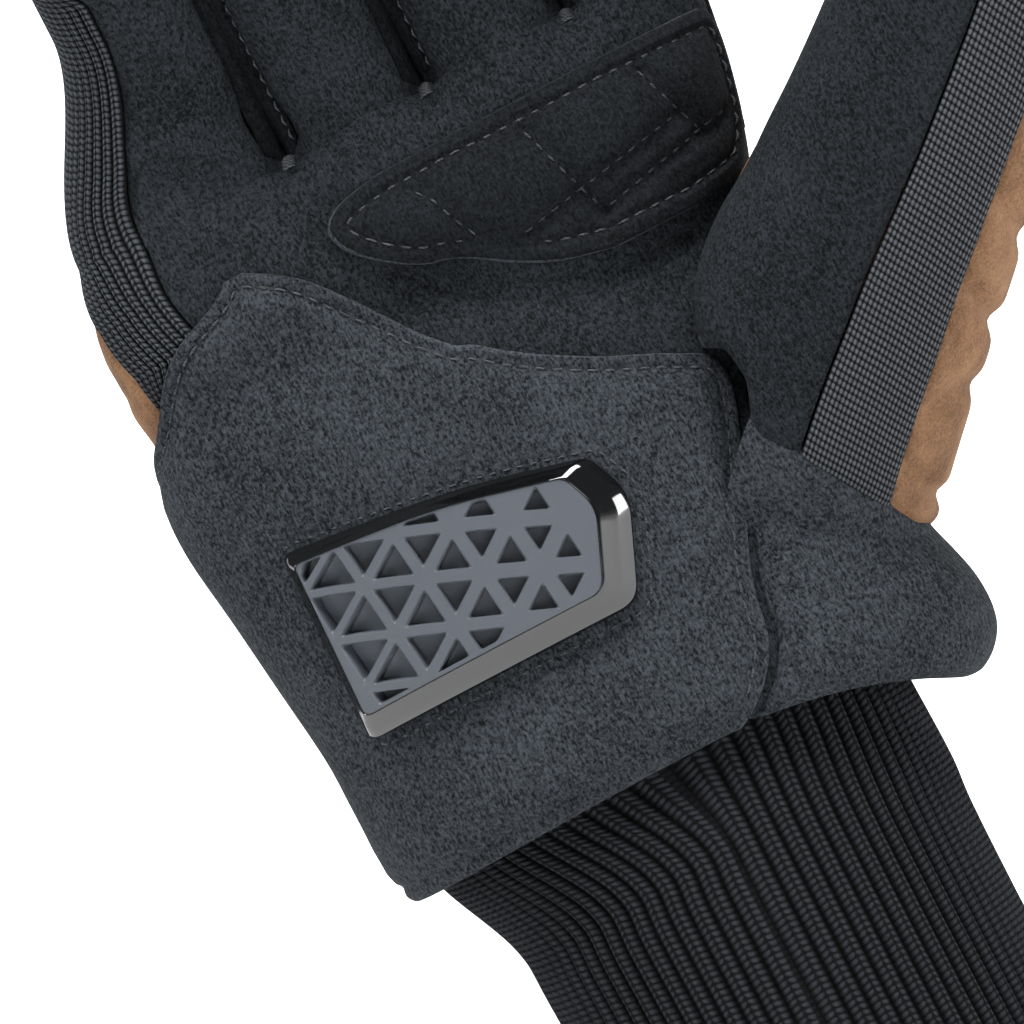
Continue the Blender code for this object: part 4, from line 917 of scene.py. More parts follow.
# Wrist panel: charcoal microsuede over the ball of the thumb's root, from the heel patch round to
# the back, sewn to the cuff. It bulges over the knit.
WRIST_PANEL_ROWS = (
    (0.75, 10, 128), (1.6, 11.5, 128), (2.6, 14, 128), (3.4, 17, 120), (4.2, 20.5, 108),
    (5.0, 25.5, 94), (5.6, 33, 80),
)
WRIST_PROFILE = ((0.0, 0.3), (0.8, 1.3), (3.0, 2.2), (8.0, 2.7), (20.0, 2.9))
WRIST_CELLS, WRIST_ROWS = 130, 90
base, normal, distance = patch(WRIST_PANEL_ROWS, WRIST_CELLS, WRIST_ROWS)
outer = base + normal * profile_height(distance, WRIST_PROFILE)[..., None]
# Painted light: the wrist panel takes the same lighter copy of the microsuede as the heel patch, where it
# bulges towards the lamps.
lit_wrist_suede = microsuede("wrist_panel_microsuede_painted_light", "#0e1012", "#3f4348", 0.12)
wrist = add_wall("wrist_panel_suede", outer.reshape(-1, 3), (base - normal * PATCH_SINK).reshape(-1, 3),
                 [quads(WRIST_ROWS + 1, WRIST_CELLS + 1)], lit_wrist_suede)
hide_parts("wrist_panel")
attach(wrist, "root")


# Grip patch under the fingers: microsuede quilted over thin foam. A dashed stitch runs 3 mm inside
# its edge and crossing stitches pull it into diamonds.
GRIP_PATCH_ROWS = (
    (9.05, 24, 47), (9.3, 13.5, 66), (9.7, 6.5, 72), (10.2, 1.5, 75), (10.7, -3, 76), (11.2, -7, 76.5),
    (11.65, -8.3, 76), (11.95, -6, 74), (12.1, -1, 68),
)
GRIP_PROFILE = ((0.0, 0.3), (0.4, 1.2), (1.8, 1.7), (2.9, 1.1), (4.0, 1.9), (7.0, 2.7), (20.0, 3.0))
GRIP_INSET = 2.9 * MM
QUILT_DEPTH = 1.2 * MM
QUILT_HALF_WIDTH = 1.6 * MM
# Quilting stitches: right and down of both ends, in picture millimetres
QUILT_LINES = (
    (60.7, 27.0, 74.2, 37.5), (76.5, 17.7, 90.5, 31.5), (92.2, 7.5, 105.0, 19.5),
    (76.0, 37.0, 102.0, 16.5), (90.5, 31.5, 112.0, 13.5),
)
GRIP_CELLS, GRIP_ROWS_FINE = 170, 90


base, normal, distance = patch(GRIP_PATCH_ROWS, GRIP_CELLS, GRIP_ROWS_FINE)
lift = profile_height(distance, GRIP_PROFILE)
for ends in QUILT_LINES:
    gap = gap_to_line(*picture_place(base), *ends) * MM
    inside_border = smooth_step((distance - GRIP_INSET) / (2 * MM))
    lift = lift - QUILT_DEPTH * np.exp(-(gap / QUILT_HALF_WIDTH) ** 2) * inside_border
outer = base + normal * lift[..., None]
# Painted shade: the grip patch takes a darker copy of the microsuede, where it faces downwards in the palm's
# hollow.
shaded_grip_suede = microsuede("quilted_grip_microsuede_painted_shade", "#08090a", "#202327", 0.12)
grip = add_wall("grip_patch_suede", outer.reshape(-1, 3), (base - normal * PATCH_SINK).reshape(-1, 3),
                [quads(GRIP_ROWS_FINE + 1, GRIP_CELLS + 1)], shaded_grip_suede)
show_cut_edge(grip, GRIP_ROWS_FINE, GRIP_CELLS)
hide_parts("grip_patch")
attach(grip, "root")
stitch_line, stitch_up, keep = border(base, normal, GRIP_INSET)
stitch_line, stitch_up, closed = runs_of(stitch_line, stitch_up, keep)
grip_stitch_lift = profile_height(np.array(GRIP_INSET), GRIP_PROFILE)
stitches("grip_border_stitches", stitch_line + stitch_up * grip_stitch_lift, stitch_up, 2.7 * MM, 1.9 * MM,
         0.4 * MM, charcoal_thread, closed)


def on_grid(ends, grid, normals, inside):
    """Points of a straight line in the picture laid on a grid of surface points: for each place on
    the line the nearest point of the grid, smoothed along the line."""
    right, down = picture_place(grid.reshape(-1, 3))
    share = np.linspace(0, 1, 60)
    x, y = ends[0] + (ends[2] - ends[0]) * share, ends[1] + (ends[3] - ends[1]) * share
    nearest = np.array([np.argmin((right - a) ** 2 + (down - b) ** 2) for a, b in zip(x, y)])
    nearest = nearest[inside.ravel()[nearest]]
    line, up = grid.reshape(-1, 3)[nearest], normals.reshape(-1, 3)[nearest]
    for _ in range(6):
        line[1:-1] = (line[:-2] + 2 * line[1:-1] + line[2:]) / 4
    return line, up


for number, ends in enumerate(QUILT_LINES):
    line, up = on_grid(ends, outer, normal, distance > GRIP_INSET + 0.6 * MM)
    stitches("grip_quilting_%d" % (number + 1), line, up, 2.5 * MM, 1.6 * MM, 0.36 * MM, charcoal_thread,
             False)


# Slider on the heel: a moulded nylon shell that slides on the road. A polished black frame with
# wide bevels holds a satin grey face pierced by triangles; a glossy grey plate lies behind it.
SLIDER_LENGTH = 49 * MM
SLIDER_LEFT = -0.350
SLIDER_BASE = 0.222
SLIDER_TOP = 7.7 * MM
BACKING_TOP = 4.3 * MM
BACKING_WALL = 0.9 * MM
LATTICE_FOOT = 4.4 * MM
LATTICE_PITCH = 8.4 * MM
LATTICE_LEAN = 23.5
NARROW_STRUT = 1.3 * MM
WIDE_STRUT = 3.0 * MM
SMALLEST_HOLE = 1.4 * MM
PLATE_STEP = 3 * MM
# Corners seen from the front, across and up from the left end's lower corner and the radius there,
# as shares of the slider's length; and the bevel's width on the side that follows, mm
SLIDER_CORNERS = (
    (0.010, 0.000, 0.060, 3.6),
    (0.870, -0.010, 0.100, 4.8),
    (1.000, 0.300, 0.120, 4.6),
    (0.940, 0.455, 0.060, 2.4),
    (0.560, 0.560, 0.300, 1.9),
    (0.015, 0.640, 0.050, 1.5),
)
CORNER_CELLS = 10
# Frame profile: share of the bevel's width inwards, height over the palm in mm
FRAME_PROFILE = (
    (0.0, 2.2), (0.0, 4.9), (0.015, 5.35), (0.06, 5.65), (0.5, 6.6), (0.94, 7.55), (0.99, 7.68),
    (1.03, 7.7), (1.06, 7.55), (1.07, 7.2),
)


def hand_place(across, height):
    """Turns and stations of the points of the palm seen at given places from the front: the
    surface's own slopes are followed until the place is met."""
    turn = np.zeros_like(across)
    heights = CUFF_LENGTH + HAND_STATIONS[1:, 0] * PALM_LENGTH
    station = np.interp(height, heights, np.arange(1, TOP_STATION + 1))
    for _ in range(40):
        point = hand_surface(turn, station)
        further = hand_surface(turn + 0.5, station) - point
        higher = hand_surface(turn, station + 0.05) - point
        turn = np.clip(turn + (across - point[:, 0]) / further[:, 0] * 0.35, -88, 88)
        station = np.clip(station + (height - point[:, 2]) / higher[:, 2] * 0.035, 0, TOP_STATION - 0.1)
    return turn, station


def bent(places, lift):
    """Flat places, seen from the front, laid on the palm at a height above it."""
    flat = np.array([tuple(place)[:2] for place in places])
    return hand_point(*hand_place(flat[:, 0], flat[:, 1]), lift)


def slider_outline(share):
    """The slider's outline moved inwards by a share of each side's bevel: straight sides in short
    steps, with a parabola at each corner."""
    count = len(SLIDER_CORNERS)
    base = Vector((SLIDER_LEFT * PALM_WIDTH, CUFF_LENGTH + SLIDER_BASE * PALM_LENGTH))
    places = [base + Vector(corner[:2]) * SLIDER_LENGTH for corner in SLIDER_CORNERS]
    lines, arcs, points = [], [], []
    for number, corner in enumerate(SLIDER_CORNERS):
        start, end = places[number], places[(number + 1) % count]
        inward = Vector((-(end - start).y, (end - start).x)).normalized() * corner[3] * MM * share
        lines.append((start + inward, end + inward))
    for number, corner in enumerate(SLIDER_CORNERS):
        before, after = lines[number - 1], lines[number]
        tip = geometry.intersect_line_line(*[p.to_3d() for p in (*before, *after)])[0].to_2d()
        reach = max(corner[2] * SLIDER_LENGTH * (1 - 0.25 * share), 0.8 * MM) * 0.6
        start = tip + (before[0] - tip).normalized() * reach
        end = tip + (after[1] - tip).normalized() * reach
        parts = [step / CORNER_CELLS for step in range(CORNER_CELLS + 1)]
        arcs.append([start * (1 - part) ** 2 + tip * 2 * part * (1 - part) + end * part**2 for part in parts])
    for number in range(count):
        points += arcs[number]
        start, end = arcs[number][-1], arcs[(number + 1) % count][0]
        steps = math.ceil((places[(number + 1) % count] - places[number]).length / PLATE_STEP)
        points += [start.lerp(end, step / steps) for step in range(1, steps)]
    return points


def clip_inside(polygon, boundary):
    """The part of a polygon that lies inside a convex boundary that runs anticlockwise."""
    for number, start in enumerate(boundary):
        end = boundary[(number + 1) % len(boundary)]
        inward = Vector((-(end - start).y, (end - start).x)).normalized()
        kept = []
        for index, point in enumerate(polygon):
            following = polygon[(index + 1) % len(polygon)]
            here, there = (point - start).dot(inward), (following - start).dot(inward)
            if here >= 0:
                kept.append(point)
            if (here > 0) != (there > 0) and abs(here - there) > 1e-9:
                kept.append(point.lerp(following, here / (here - there)))
        polygon = kept
        if len(polygon) < 3:
            return []
    return polygon


def polygon_area(polygon):
    return 0.5 * sum(a.x * b.y - b.x * a.y for a, b in zip(polygon, polygon[1:] + polygon[:1]))


def lattice_holes(face_outline):
    """Triangular holes of the lattice: struts grow wider towards the thumb's end."""
    height = LATTICE_PITCH * math.sqrt(3) / 2
    lean = math.radians(-LATTICE_LEAN)
    right = Vector((math.cos(lean), math.sin(lean)))
    up = Vector((-math.sin(lean), math.cos(lean)))
    left_end, right_end = min(p.x for p in face_outline), max(p.x for p in face_outline)
    origin = Vector((left_end, sum(p.y for p in face_outline) / len(face_outline)))
    holes = []
    for row in range(-9, 10):
        for column in range(-9, 14):
            corner = origin + up * row * height + right * (column + row * 0.5) * LATTICE_PITCH
            beside = corner + right * LATTICE_PITCH
            above = corner + right * LATTICE_PITCH / 2 + up * height
            for triangle in ([corner, beside, above], [beside, above + right * LATTICE_PITCH, above]):
                middle = sum(triangle, Vector((0, 0))) / 3
                share = min(max((middle.x - left_end) / (right_end - left_end), 0), 1)
                strut = NARROW_STRUT + (WIDE_STRUT - NARROW_STRUT) * share
                scale = 1 - strut / 2 / (height / 3)
                triangle = [middle + (point - middle) * scale for point in triangle]
                hole = clip_inside(triangle, face_outline)
                hole = [p for index, p in enumerate(hole) if (p - hole[index - 1]).length > 0.25 * MM]
                if len(hole) >= 3 and polygon_area(hole) > SMALLEST_HOLE**2:
                    holes.append(hole)
    return holes


def softened(polygon, grow, radius):
    """A hole's outline moved outwards, its corners cut by a parabola and its sides in short steps."""
    middle = sum(polygon, Vector((0, 0))) / len(polygon)
    points = []
    moved = []
    for index, point in enumerate(polygon):
        before, after = polygon[index - 1], polygon[(index + 1) % len(polygon)]
        a = Vector(((point - before).y, -(point - before).x)).normalized()
        b = Vector(((after - point).y, -(after - point).x)).normalized()
        moved.append(point + (a + b) * grow / max(1 + a.dot(b), 0.35))
    for index, point in enumerate(moved):
        before, after = moved[index - 1], moved[(index + 1) % len(moved)]
        reach = min(radius, (point - before).length * 0.4, (after - point).length * 0.4)
        start = point + (before - point).normalized() * reach
        end = point + (after - point).normalized() * reach
        for part in (0, 0.25, 0.5, 0.75, 1):
            points.append(start * (1 - part) ** 2 + point * 2 * part * (1 - part) + end * part**2)
        following = moved[(index + 1) % len(moved)]
        for part in (0.35, 0.65):
            points.append(point.lerp(following, part))
    return points


def pierced_plate(name, levels, material):
    """A plate bent to the palm. Each level gives its outlines, the outer one first, and its height;
    top and bottom are filled between the outlines, and walls join the levels."""
    points, faces = [], []
    counts = [len(loop) for loop in levels[0][0]]
    starts = np.concatenate([[0], np.cumsum(counts)])
    for loops, lift in levels:
        points.append(np.vstack([bent(loop, lift) for loop in loops]))
    size = len(points[0])
    for level in range(len(levels) - 1):
        for number, count in enumerate(counts):
            here = np.arange(count)
            after = (here + 1) % count
            low, high = starts[number] + level * size, starts[number] + (level + 1) * size
            wall = np.stack([low + here, low + after, high + after, high + here], -1)
            faces.append(wall if number == 0 else wall[:, ::-1])
    for level, upwards in ((0, False), (len(levels) - 1, True)):
        loops = levels[level][0]
        places = [point for loop in loops for point in loop]
        edges = [(int(first + c), int(first + (c + 1) % count))
                 for first, count in zip(starts, counts) for c in range(count)]
        loop_of = np.repeat(np.arange(len(counts)), counts)
        found = geometry.delaunay_2d_cdt(places, edges, [], 1, 1e-7)
        corners = np.array([[found[3][i][0] for i in triangle] for triangle in found[2]])
        loops_met = loop_of[corners]
        kept = corners[~((loops_met.min(1) == loops_met.max(1)) & (loops_met.min(1) > 0))] + level * size
        faces.append(kept if upwards else kept[:, ::-1])
    return add_mesh(name, np.vstack(points), faces, material, 40)


def moulded(name, colour, roughness, grain, grain_depth, index=1.53):
    """Injection-moulded nylon: even colour, with the mould's fine grain of a real size in mm."""
    material, tree, shader = blank_material(name, roughness, IOR=index)
    shader.inputs["Base Color"].default_value = srgb(colour)
    bumps(tree, shader, noise(tree, object_mm(tree), 1 / grain, 2.0, 0.5), 0.5, grain_depth * MM)
    return material


def ring_faces(levels, around):
    """Faces between rings of points, each joined to the next and the last one to the first."""
    column = np.arange(around)
    beside = (column + 1) % around
    faces = []
    for level in range(levels):
        here, above = level * around, (level + 1) % levels * around
        faces.append(np.stack([here + column, here + beside, above + beside, above + column], -1))
    return faces


gloss_black = moulded("polished_black_nylon", "#08090a", 0.06, 6.0, 0.05, 1.8)
satin_grey = moulded("satin_grey_nylon", "#494d54", 0.42, 0.35, 0.04)
backing_grey = moulded("glossy_grey_backing", "#70757c", 0.18, 4.0, 0.08)

rings = [bent(slider_outline(share), lift * MM) for share, lift in FRAME_PROFILE]
frame_faces = ring_faces(len(rings), len(rings[0]))
slider_frame = add_mesh("slider_frame", np.vstack(rings), frame_faces, gloss_black, 35)

face_outline = slider_outline(1.08)
holes = lattice_holes(slider_outline(1.28))
lattice_levels = [
    ([face_outline, *[softened(hole, 0.0, 0.5 * MM) for hole in holes]], LATTICE_FOOT),
    ([face_outline, *[softened(hole, 0.0, 0.5 * MM) for hole in holes]], SLIDER_TOP - 1.0 * MM),
    ([face_outline, *[softened(hole, 0.08 * MM, 0.5 * MM) for hole in holes]], SLIDER_TOP - 0.5 * MM),
    ([face_outline, *[softened(hole, 0.26 * MM, 0.5 * MM) for hole in holes]], SLIDER_TOP - 0.2 * MM),
]
slider_face = pierced_plate("slider_lattice", lattice_levels, satin_grey)

backing_outline = slider_outline(0.9)
left_end, right_end = min(p.x for p in backing_outline), max(p.x for p in backing_outline)
low_end, high_end = min(p.y for p in backing_outline), max(p.y for p in backing_outline)
inside = [Vector((x, y)) for x in np.arange(left_end, right_end, PLATE_STEP)
          for y in np.arange(low_end, high_end, PLATE_STEP)]
inside = [p for p in inside if min((p - other).length for other in backing_outline) > PLATE_STEP / 3]
rim = [(c, (c + 1) % len(backing_outline)) for c in range(len(backing_outline))]
places, _, backing_faces, *_ = geometry.delaunay_2d_cdt(backing_outline + inside, rim, [], 1, 1e-7)
slider_back = add_wall("slider_backing_plate", bent(places, BACKING_TOP),
                       bent(places, BACKING_TOP - BACKING_WALL), [np.array(backing_faces)], backing_grey)
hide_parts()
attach(slider_frame, "root")
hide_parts("palm_slider")
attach(slider_face, "root")
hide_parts("slider_backing")
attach(slider_back, "root")

ring_line = bent(slider_outline(-0.42), 2.75 * MM)
ring_up = hand_normal(*hand_place(ring_line[:, 0], ring_line[:, 2]))
stitches("slider_stitches", ring_line, ring_up, 2.1 * MM, 1.5 * MM, 0.36 * MM, charcoal_thread)


# Thumb: an oval sleeve set into the palm. Its front is charcoal microsuede, a band of plain black
# knit runs along its outer side, and its back is brown nubuck drawn into wrinkles beside the band.
THUMB_REACH = 120 * MM
THUMB_WIDTH = 42 * MM
THUMB_DEPTH = 36 * MM
THUMB_ROUNDNESS = 2.2
# Places are shares of the thumb's reach from the middle of the wrist seam, widths and depths are
# shares of the thumb's own.
THUMB_STATIONS = np.array([
    (0.205, -0.005, 0.170, 1.20, 1.05),
    (0.325, -0.085, 0.300, 1.17, 1.09),
    (0.470, -0.165, 0.430, 1.09, 1.02),
    (0.620, -0.240, 0.555, 0.98, 0.97),
    (0.765, -0.305, 0.685, 0.92, 0.91),
    (0.870, -0.350, 0.790, 0.88, 0.86),
    (0.960, -0.390, 0.890, 0.80, 0.78),
])
THUMB_TOP = len(THUMB_STATIONS) - 1
THUMB_TIP_STARTS = 4.6
THUMB_SEAMS = {"web": -98.0, "band_inner": 2.0, "band_outer": 41.0}
THUMB_SEAMS_CLOSE_FROM = 4.0
THUMB_SEAMS_CLOSE_AT = 5.2
THUMB_BAND_END = 5.0
BAND_LIFT = 0.2 * MM
BAND_LOOP_WIDTH, BAND_LOOP_HEIGHT = 0.72 * MM, 1.1 * MM
THUMB_ROWS = 150
# Root seam on the palm side, right and down in picture millimetres
ROOT_SEAM_LINE = np.array([
    (100.8, 36.8), (101.3, 43.5), (103.5, 51.8), (108.0, 52.3), (111.6, 57.0), (112.8, 66.3),
    (120.0, 69.8), (135.8, 78.8), (137.7, 80.3)])
ROOT_LIFT = 0.8 * MM
ROOT_SEAM_STATION = 1.5
SEAM_ROLL = 1.6 * MM


def thumb_surface(turn, station):
    """The thumb's form: an oval carried along its curved middle line, rounded at the tip."""
    turn, station = np.broadcast_arrays(np.radians(np.asarray(turn, float)), np.asarray(station, float))
    row = along(THUMB_STATIONS, station)
    ahead = along(THUMB_STATIONS, np.minimum(station + 0.02, THUMB_TOP))[..., :3]
    behind = along(THUMB_STATIONS, np.maximum(station - 0.02, 0))[..., :3]
    along_thumb = ahead - behind
    along_thumb = along_thumb / np.linalg.norm(along_thumb, axis=-1, keepdims=True)
    side = np.cross(along_thumb, np.array([0.0, -1.0, 0.0]))
    side = side / np.linalg.norm(side, axis=-1, keepdims=True)
    front = np.cross(side, along_thumb)
    tip = np.sqrt(1 - np.clip((station - THUMB_TIP_STARTS) / (THUMB_TOP - THUMB_TIP_STARTS), 0, 1) ** 2)
    half_width = (row[..., 3] * THUMB_WIDTH / 2 * tip)[..., None]
    half_depth = (row[..., 4] * THUMB_DEPTH / 2 * tip)[..., None]
    centre = row[..., :3] * THUMB_REACH + np.array([0, 0, CUFF_LENGTH])
    return (centre + side * half_width * rounded(np.sin(turn), THUMB_ROUNDNESS)[..., None]
            + front * half_depth * rounded(np.cos(turn), THUMB_ROUNDNESS)[..., None])


def thumb_normal(turn, station):
    return normals_of(thumb_surface, turn, station, 1.0, 0.03, (0, THUMB_TOP - 0.03))


def inside_hand(points, lift):
    """True where a point lies inside the hand's form grown by a height: the form's own oval of
    powers at the station whose height the point has."""
    dense = along(HAND_STATIONS, np.linspace(0, TOP_STATION, 400))
    share_up = (points[..., 2] - CUFF_LENGTH) / PALM_LENGTH
    station = np.interp(share_up, dense[40:, 0], np.linspace(0, TOP_STATION, 400)[40:])
    for _ in range(12):
        row = along(HAND_STATIONS, station)
        middle = (row[..., 3] + row[..., 4]) / 2 * PALM_WIDTH
        half = (row[..., 4] - row[..., 3]) / 2 * PALM_WIDTH + lift
        across = np.clip((points[..., 0] - middle) / half, -1, 1)
        height = row[..., 0] + (row[..., 2] - row[..., 0]) * np.maximum(across, 0) ** 2.5
        rise = np.interp(station, np.arange(1, TOP_STATION + 1) - 0.5, np.diff(HAND_STATIONS[:, 0]))
        slope = np.maximum(rise, 0.03)
        station = np.clip(station + (share_up - height) / slope * 0.6, 0, TOP_STATION)
    towards_back = points[..., 1] + row[..., 7] * PALM_LENGTH
    depth = np.where(towards_back < 0, row[..., 5], row[..., 6]) * PALM_DEPTH + lift
    x_share = np.abs((points[..., 0] - middle) / half)
    y_share = np.abs(towards_back / depth)
    return x_share**HAND_ROUNDNESS + y_share**HAND_ROUNDNESS < 1


def thumb_root(turns, lift):
    """The station at each turn where the thumb's form leaves the hand's."""
    station = np.linspace(0, 4.5, 400)
    inside = inside_hand(thumb_surface(turns[:, None], station[None]), lift)
    last = inside.shape[1] - 1 - np.argmax(inside[:, ::-1], axis=1)
    return station[np.where(inside.any(1), last, 0)]


def evened(values):
    """Values smoothed three times by the mean of five neighbours."""
    for _ in range(3):
        values = np.convolve(np.pad(values, 2, mode="edge"), np.ones(5) / 5, mode="valid")
    return values


def root_seam(turns, root):
    """Station of the thumb's root seam at each turn: where the thumb's form leaves the hand's, or
    higher on the palm side, where the seam runs over the ball of the thumb on a line in the
    picture."""
    station = np.linspace(0, 4.5, 400)
    right, down = picture_place(thumb_surface(turns[:, None], station[None]))
    under = down > np.interp(right, ROOT_SEAM_LINE[:, 0], ROOT_SEAM_LINE[:, 1])
    last = under.shape[1] - 1 - np.argmax(under[:, ::-1], axis=1)
    raised = np.maximum(station[np.where(under.any(1), last, 0)], root)
    towards_palm = smooth_step((100 - np.abs(np.mod(turns + 180, 360) - 180)) / 20)
    return root + (raised - root) * towards_palm


def thumb_seam(name, station):
    """Turn of a thumb seam: the band's two seams run together near the tip."""
    together = (THUMB_SEAMS["band_inner"] + THUMB_SEAMS["band_outer"]) / 2
    share = (station - THUMB_SEAMS_CLOSE_FROM) / (THUMB_SEAMS_CLOSE_AT - THUMB_SEAMS_CLOSE_FROM)
    closing = smooth_step(share) if name != "web" else 0 * share
    return THUMB_SEAMS[name] + (together - THUMB_SEAMS[name]) * closing


def thumb_piece(name, left, right, cells, end_station, lift_of, wall, material):
    """Lengthwise piece of the thumb between two seams. Its root follows the hand's form, and the
    cloth rolls in over the root seam and the long seams. Gives the piece and its points' distances
    from the left seam and from the root."""
    share = np.linspace(0, 1, cells + 1)
    start, end = thumb_seam(left, ROOT_SEAM_STATION), thumb_seam(right, ROOT_SEAM_STATION)
    root_turn = start + share * np.mod(end - start, 360)
    root = evened(root_seam(root_turn, thumb_root(root_turn, ROOT_LIFT)))
    up = 1 - (1 - np.linspace(0, 1, THUMB_ROWS + 1)) ** 1.15
    last = end_station if end_station < THUMB_TOP else THUMB_TOP - 0.02
    station = root + (last - root) * up[:, None]
    seam_left, seam_right = thumb_seam(left, station), thumb_seam(right, station)
    width = np.mod(seam_right - seam_left, 360)
    margin = 0.35 * np.minimum(1, width / 10)
    turn = seam_left + margin + (width - 2 * margin) * share
    base, normal = thumb_surface(turn, station), thumb_normal(turn, station)
    run, crosswise = distance_along(base), distance_along(base, 1)
    to_edge = np.minimum(crosswise, crosswise[:, -1:] - crosswise)
    roll = -SEAM_ROLL * np.exp(-run / (1.3 * MM)) - 0.7 * MM * np.exp(-to_edge / (0.8 * MM))
    outer = base + normal * (roll + lift_of(base))[..., None]
    inner = base - normal * wall
    piece = add_wall(name, outer.reshape(-1, 3), inner.reshape(-1, 3),
                     [quads(THUMB_ROWS + 1, cells + 1)], material)
    return piece, crosswise, run


# Right and down of three places on the fold, half width and depth, in picture millimetres
THUMB_FOLDS = (
    (101, 36, 101.5, 44, 104, 52, 2.5, 1.2),
    (110, 24, 118, 28, 126, 36, 6.0, 0.5),
)
THUMB_BACK_FOLDS = (
    (142, 42, 147, 45, 152, 52, 1.6, 1.7),
    (140, 62, 146, 58, 152, 60, 1.8, 1.2),
    (136, 70, 141, 74, 146, 74, 1.6, 1.4),
    (146, 28, 150, 30, 154, 36, 1.8, 1.3),
    (133, 78, 138, 80, 144, 79, 1.8, 1.0),
)
# Painted shade: the thumb's front takes a darker copy of the palm's microsuede.
shaded_thumb_suede = microsuede("thumb_microsuede_painted_shade", "#08090b", "#292d31", 0.12)
thumb_front, _, _ = thumb_piece("thumb_front_suede", "web", "band_inner", 120, THUMB_TOP,
                                lambda base: folds(base, THUMB_FOLDS), SUEDE_WALL, shaded_thumb_suede)
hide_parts("thumb_front")
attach(thumb_front, "root")

band_knit = rib_knit("black_band_knit", "#050506", "#5c5f64", 1.0, 0.0, 0.0)
thumb_band, band_across, band_run = thumb_piece("thumb_band_knit", "band_inner", "band_outer", 60,
                                                THUMB_BAND_END, lambda base: BAND_LIFT, SUEDE_WALL, band_knit)
mark_cloth(thumb_band, band_across / BAND_LOOP_WIDTH, band_run / BAND_LOOP_HEIGHT)
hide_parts("thumb_band")
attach(thumb_band, "root")

thumb_back, _, _ = thumb_piece("thumb_back_suede", "band_outer", "web", 150, THUMB_TOP,
                               lambda base: folds(base, THUMB_BACK_FOLDS), SUEDE_WALL, brown)
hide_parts("thumb_back")
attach(thumb_back, "root")


# Upper edge of the wrist panel: it climbs from the hand onto the ball of the thumb and turns in at
# the thumb's root seam.
UPPER_EDGE_CELLS, UPPER_EDGE_ROWS = 130, 40
EDGE_LIFT, EDGE_DIP = 0.6 * MM, 1.7 * MM
# Where it begins, right in picture millimetres
BESIDE_HEEL_PATCH = 112.3
edge_turns = np.linspace(-90, 100, 400)
seam_station = root_seam(edge_turns, thumb_root(edge_turns, ROOT_LIFT))
seam_right, _ = picture_place(thumb_surface(edge_turns, seam_station))
towards_palm = np.abs(edge_turns) < 90
first_turn = edge_turns[towards_palm][np.argmax((seam_right > BESIDE_HEEL_PATCH)[towards_palm])]
edge_turns = np.linspace(first_turn, 100, UPPER_EDGE_CELLS + 1)
low = np.maximum(evened(thumb_root(edge_turns, 0.3 * MM)) - 0.15, 0)
high = evened(root_seam(edge_turns, thumb_root(edge_turns, ROOT_LIFT))) + 0.10
station = low + (high - low) * np.linspace(0, 1, UPPER_EDGE_ROWS + 1)[:, None]
base, normal = thumb_surface(edge_turns, station), thumb_normal(edge_turns, station)
run = distance_along(base)
below_seam = run[-1] - run
lift = EDGE_LIFT * (1 - np.exp(-below_seam / (2.5 * MM))) - EDGE_DIP * np.exp(-below_seam / (1.6 * MM))
# The upper edge takes the wrist panel's lighter microsuede, which is painted light.
upper_edge = add_wall("wrist_panel_upper_edge", (base + normal * lift[..., None]).reshape(-1, 3),
                      (base - normal * SUEDE_WALL).reshape(-1, 3),
                      [quads(UPPER_EDGE_ROWS + 1, UPPER_EDGE_CELLS + 1)], lit_wrist_suede)
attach(upper_edge, "root")


# Cuff: a long tube of black rib knit that grips the wrist, about 110 ribs round, tucked under the
# suede at the wrist seam.
CUFF_WIDTH = 72 * MM
CUFF_DEPTH = 50 * MM
CUFF_ROUNDNESS = 2.2
CUFF_ROWS = ((0.0, 1.0, 1.0), (0.4, 0.99, 0.98), (0.72, 1.0, 1.0), (0.84, 1.02, 1.0))
CUFF_TUCK = 7 * MM
CUFF_RIB_PITCH = 2.7 * MM
CUFF_RIB_DEPTH = 1.4 * MM
KNIT_WALL = 2.8 * MM
SEAM_EASE = 0.9 * MM
CUFF_CELLS_PER_RIB = 6
CUFF_FINE_ROWS = 90


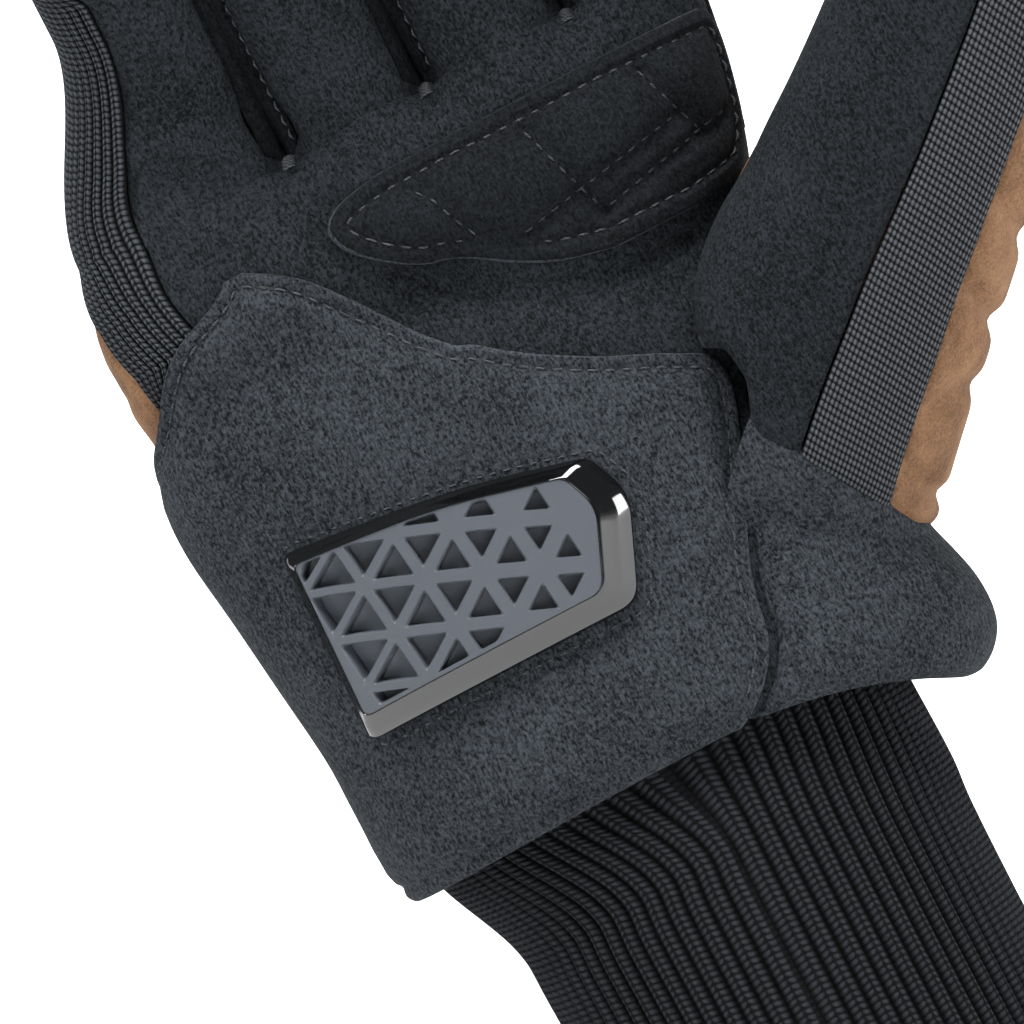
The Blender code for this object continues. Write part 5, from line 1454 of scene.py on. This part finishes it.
def cuff_ring(turns, row):
    """Outer line of the cuff at a row: ovals up to the seam, then two rows that follow the hem."""
    radians = np.radians(turns)
    across = rounded(np.sin(radians), CUFF_ROUNDNESS)
    towards_palm = rounded(np.cos(radians), CUFF_ROUNDNESS)
    hem = hand_surface(turns, np.zeros_like(turns))
    hem_inside = hand_point(turns, np.zeros_like(turns), -SUEDE_WALL)
    if row < len(CUFF_ROWS):
        height, wide, deep = CUFF_ROWS[row]
        return np.stack([across * CUFF_WIDTH / 2 * wide, -towards_palm * CUFF_DEPTH / 2 * deep,
                         height * hem[:, 2]], -1)
    middle = np.array([hem[:, 0].mean(), 0.0, 0.0])
    outward = (hem - middle) * np.array([1.0, 1.0, 0.0])
    reach = np.linalg.norm(outward, axis=1, keepdims=True)
    inner_reach = np.sum((hem_inside - middle) * outward, axis=1, keepdims=True) / reach
    outward = outward / reach
    ring = hem - outward * (reach - np.minimum(reach, inner_reach) + SEAM_EASE)
    if row > len(CUFF_ROWS):
        ring = ring + np.array([0.0, 0.0, CUFF_TUCK])
    return ring


cuff_ribs = round(math.pi * (CUFF_WIDTH + CUFF_DEPTH) / 2 * 1.02 / CUFF_RIB_PITCH)
cuff_cells = cuff_ribs * CUFF_CELLS_PER_RIB
cuff_turns = np.arange(cuff_cells) * 360.0 / cuff_cells
cuff_table = np.stack([cuff_ring(cuff_turns, row) for row in range(len(CUFF_ROWS) + 2)])
cuff_place = np.linspace(0, len(cuff_table) - 1, CUFF_FINE_ROWS + 1)
cuff_base = along(cuff_table.reshape(len(cuff_table), -1), cuff_place)
cuff_base = cuff_base.reshape(CUFF_FINE_ROWS + 1, cuff_cells, 3)
ahead = np.roll(cuff_base, -1, axis=1) - np.roll(cuff_base, 1, axis=1)
upwards = np.gradient(cuff_base, axis=0)
cuff_normal = np.cross(ahead, upwards)
cuff_normal /= np.linalg.norm(cuff_normal, axis=2, keepdims=True)
groove = CUFF_RIB_DEPTH * np.cos(np.arange(cuff_cells) / CUFF_CELLS_PER_RIB * math.pi) ** 4
cuff_outer = cuff_base - cuff_normal * groove[None, :, None]
cuff_inner = cuff_base[::3] - cuff_normal[::3] * KNIT_WALL
cuff_rings = np.concatenate([cuff_outer, cuff_inner[::-1]])
# The knit's grooves between ribs are darkened with painted shade.
cuff_knit = rib_knit("black_cuff_knit", "#030304", "#33363b", 2.0)
cuff = add_mesh("cuff_rib_knit", cuff_rings.reshape(-1, 3), ring_faces(len(cuff_rings), cuff_cells),
                cuff_knit, 80)
run = distance_along(cuff_base)
run = np.concatenate([run, run[::3][::-1]])
across_ribs = np.broadcast_to(np.arange(cuff_cells) / CUFF_CELLS_PER_RIB, run.shape)
mark_cloth(cuff, across_ribs, run / LOOP_LENGTH)
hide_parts("knit_cuff")
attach(cuff, "root")
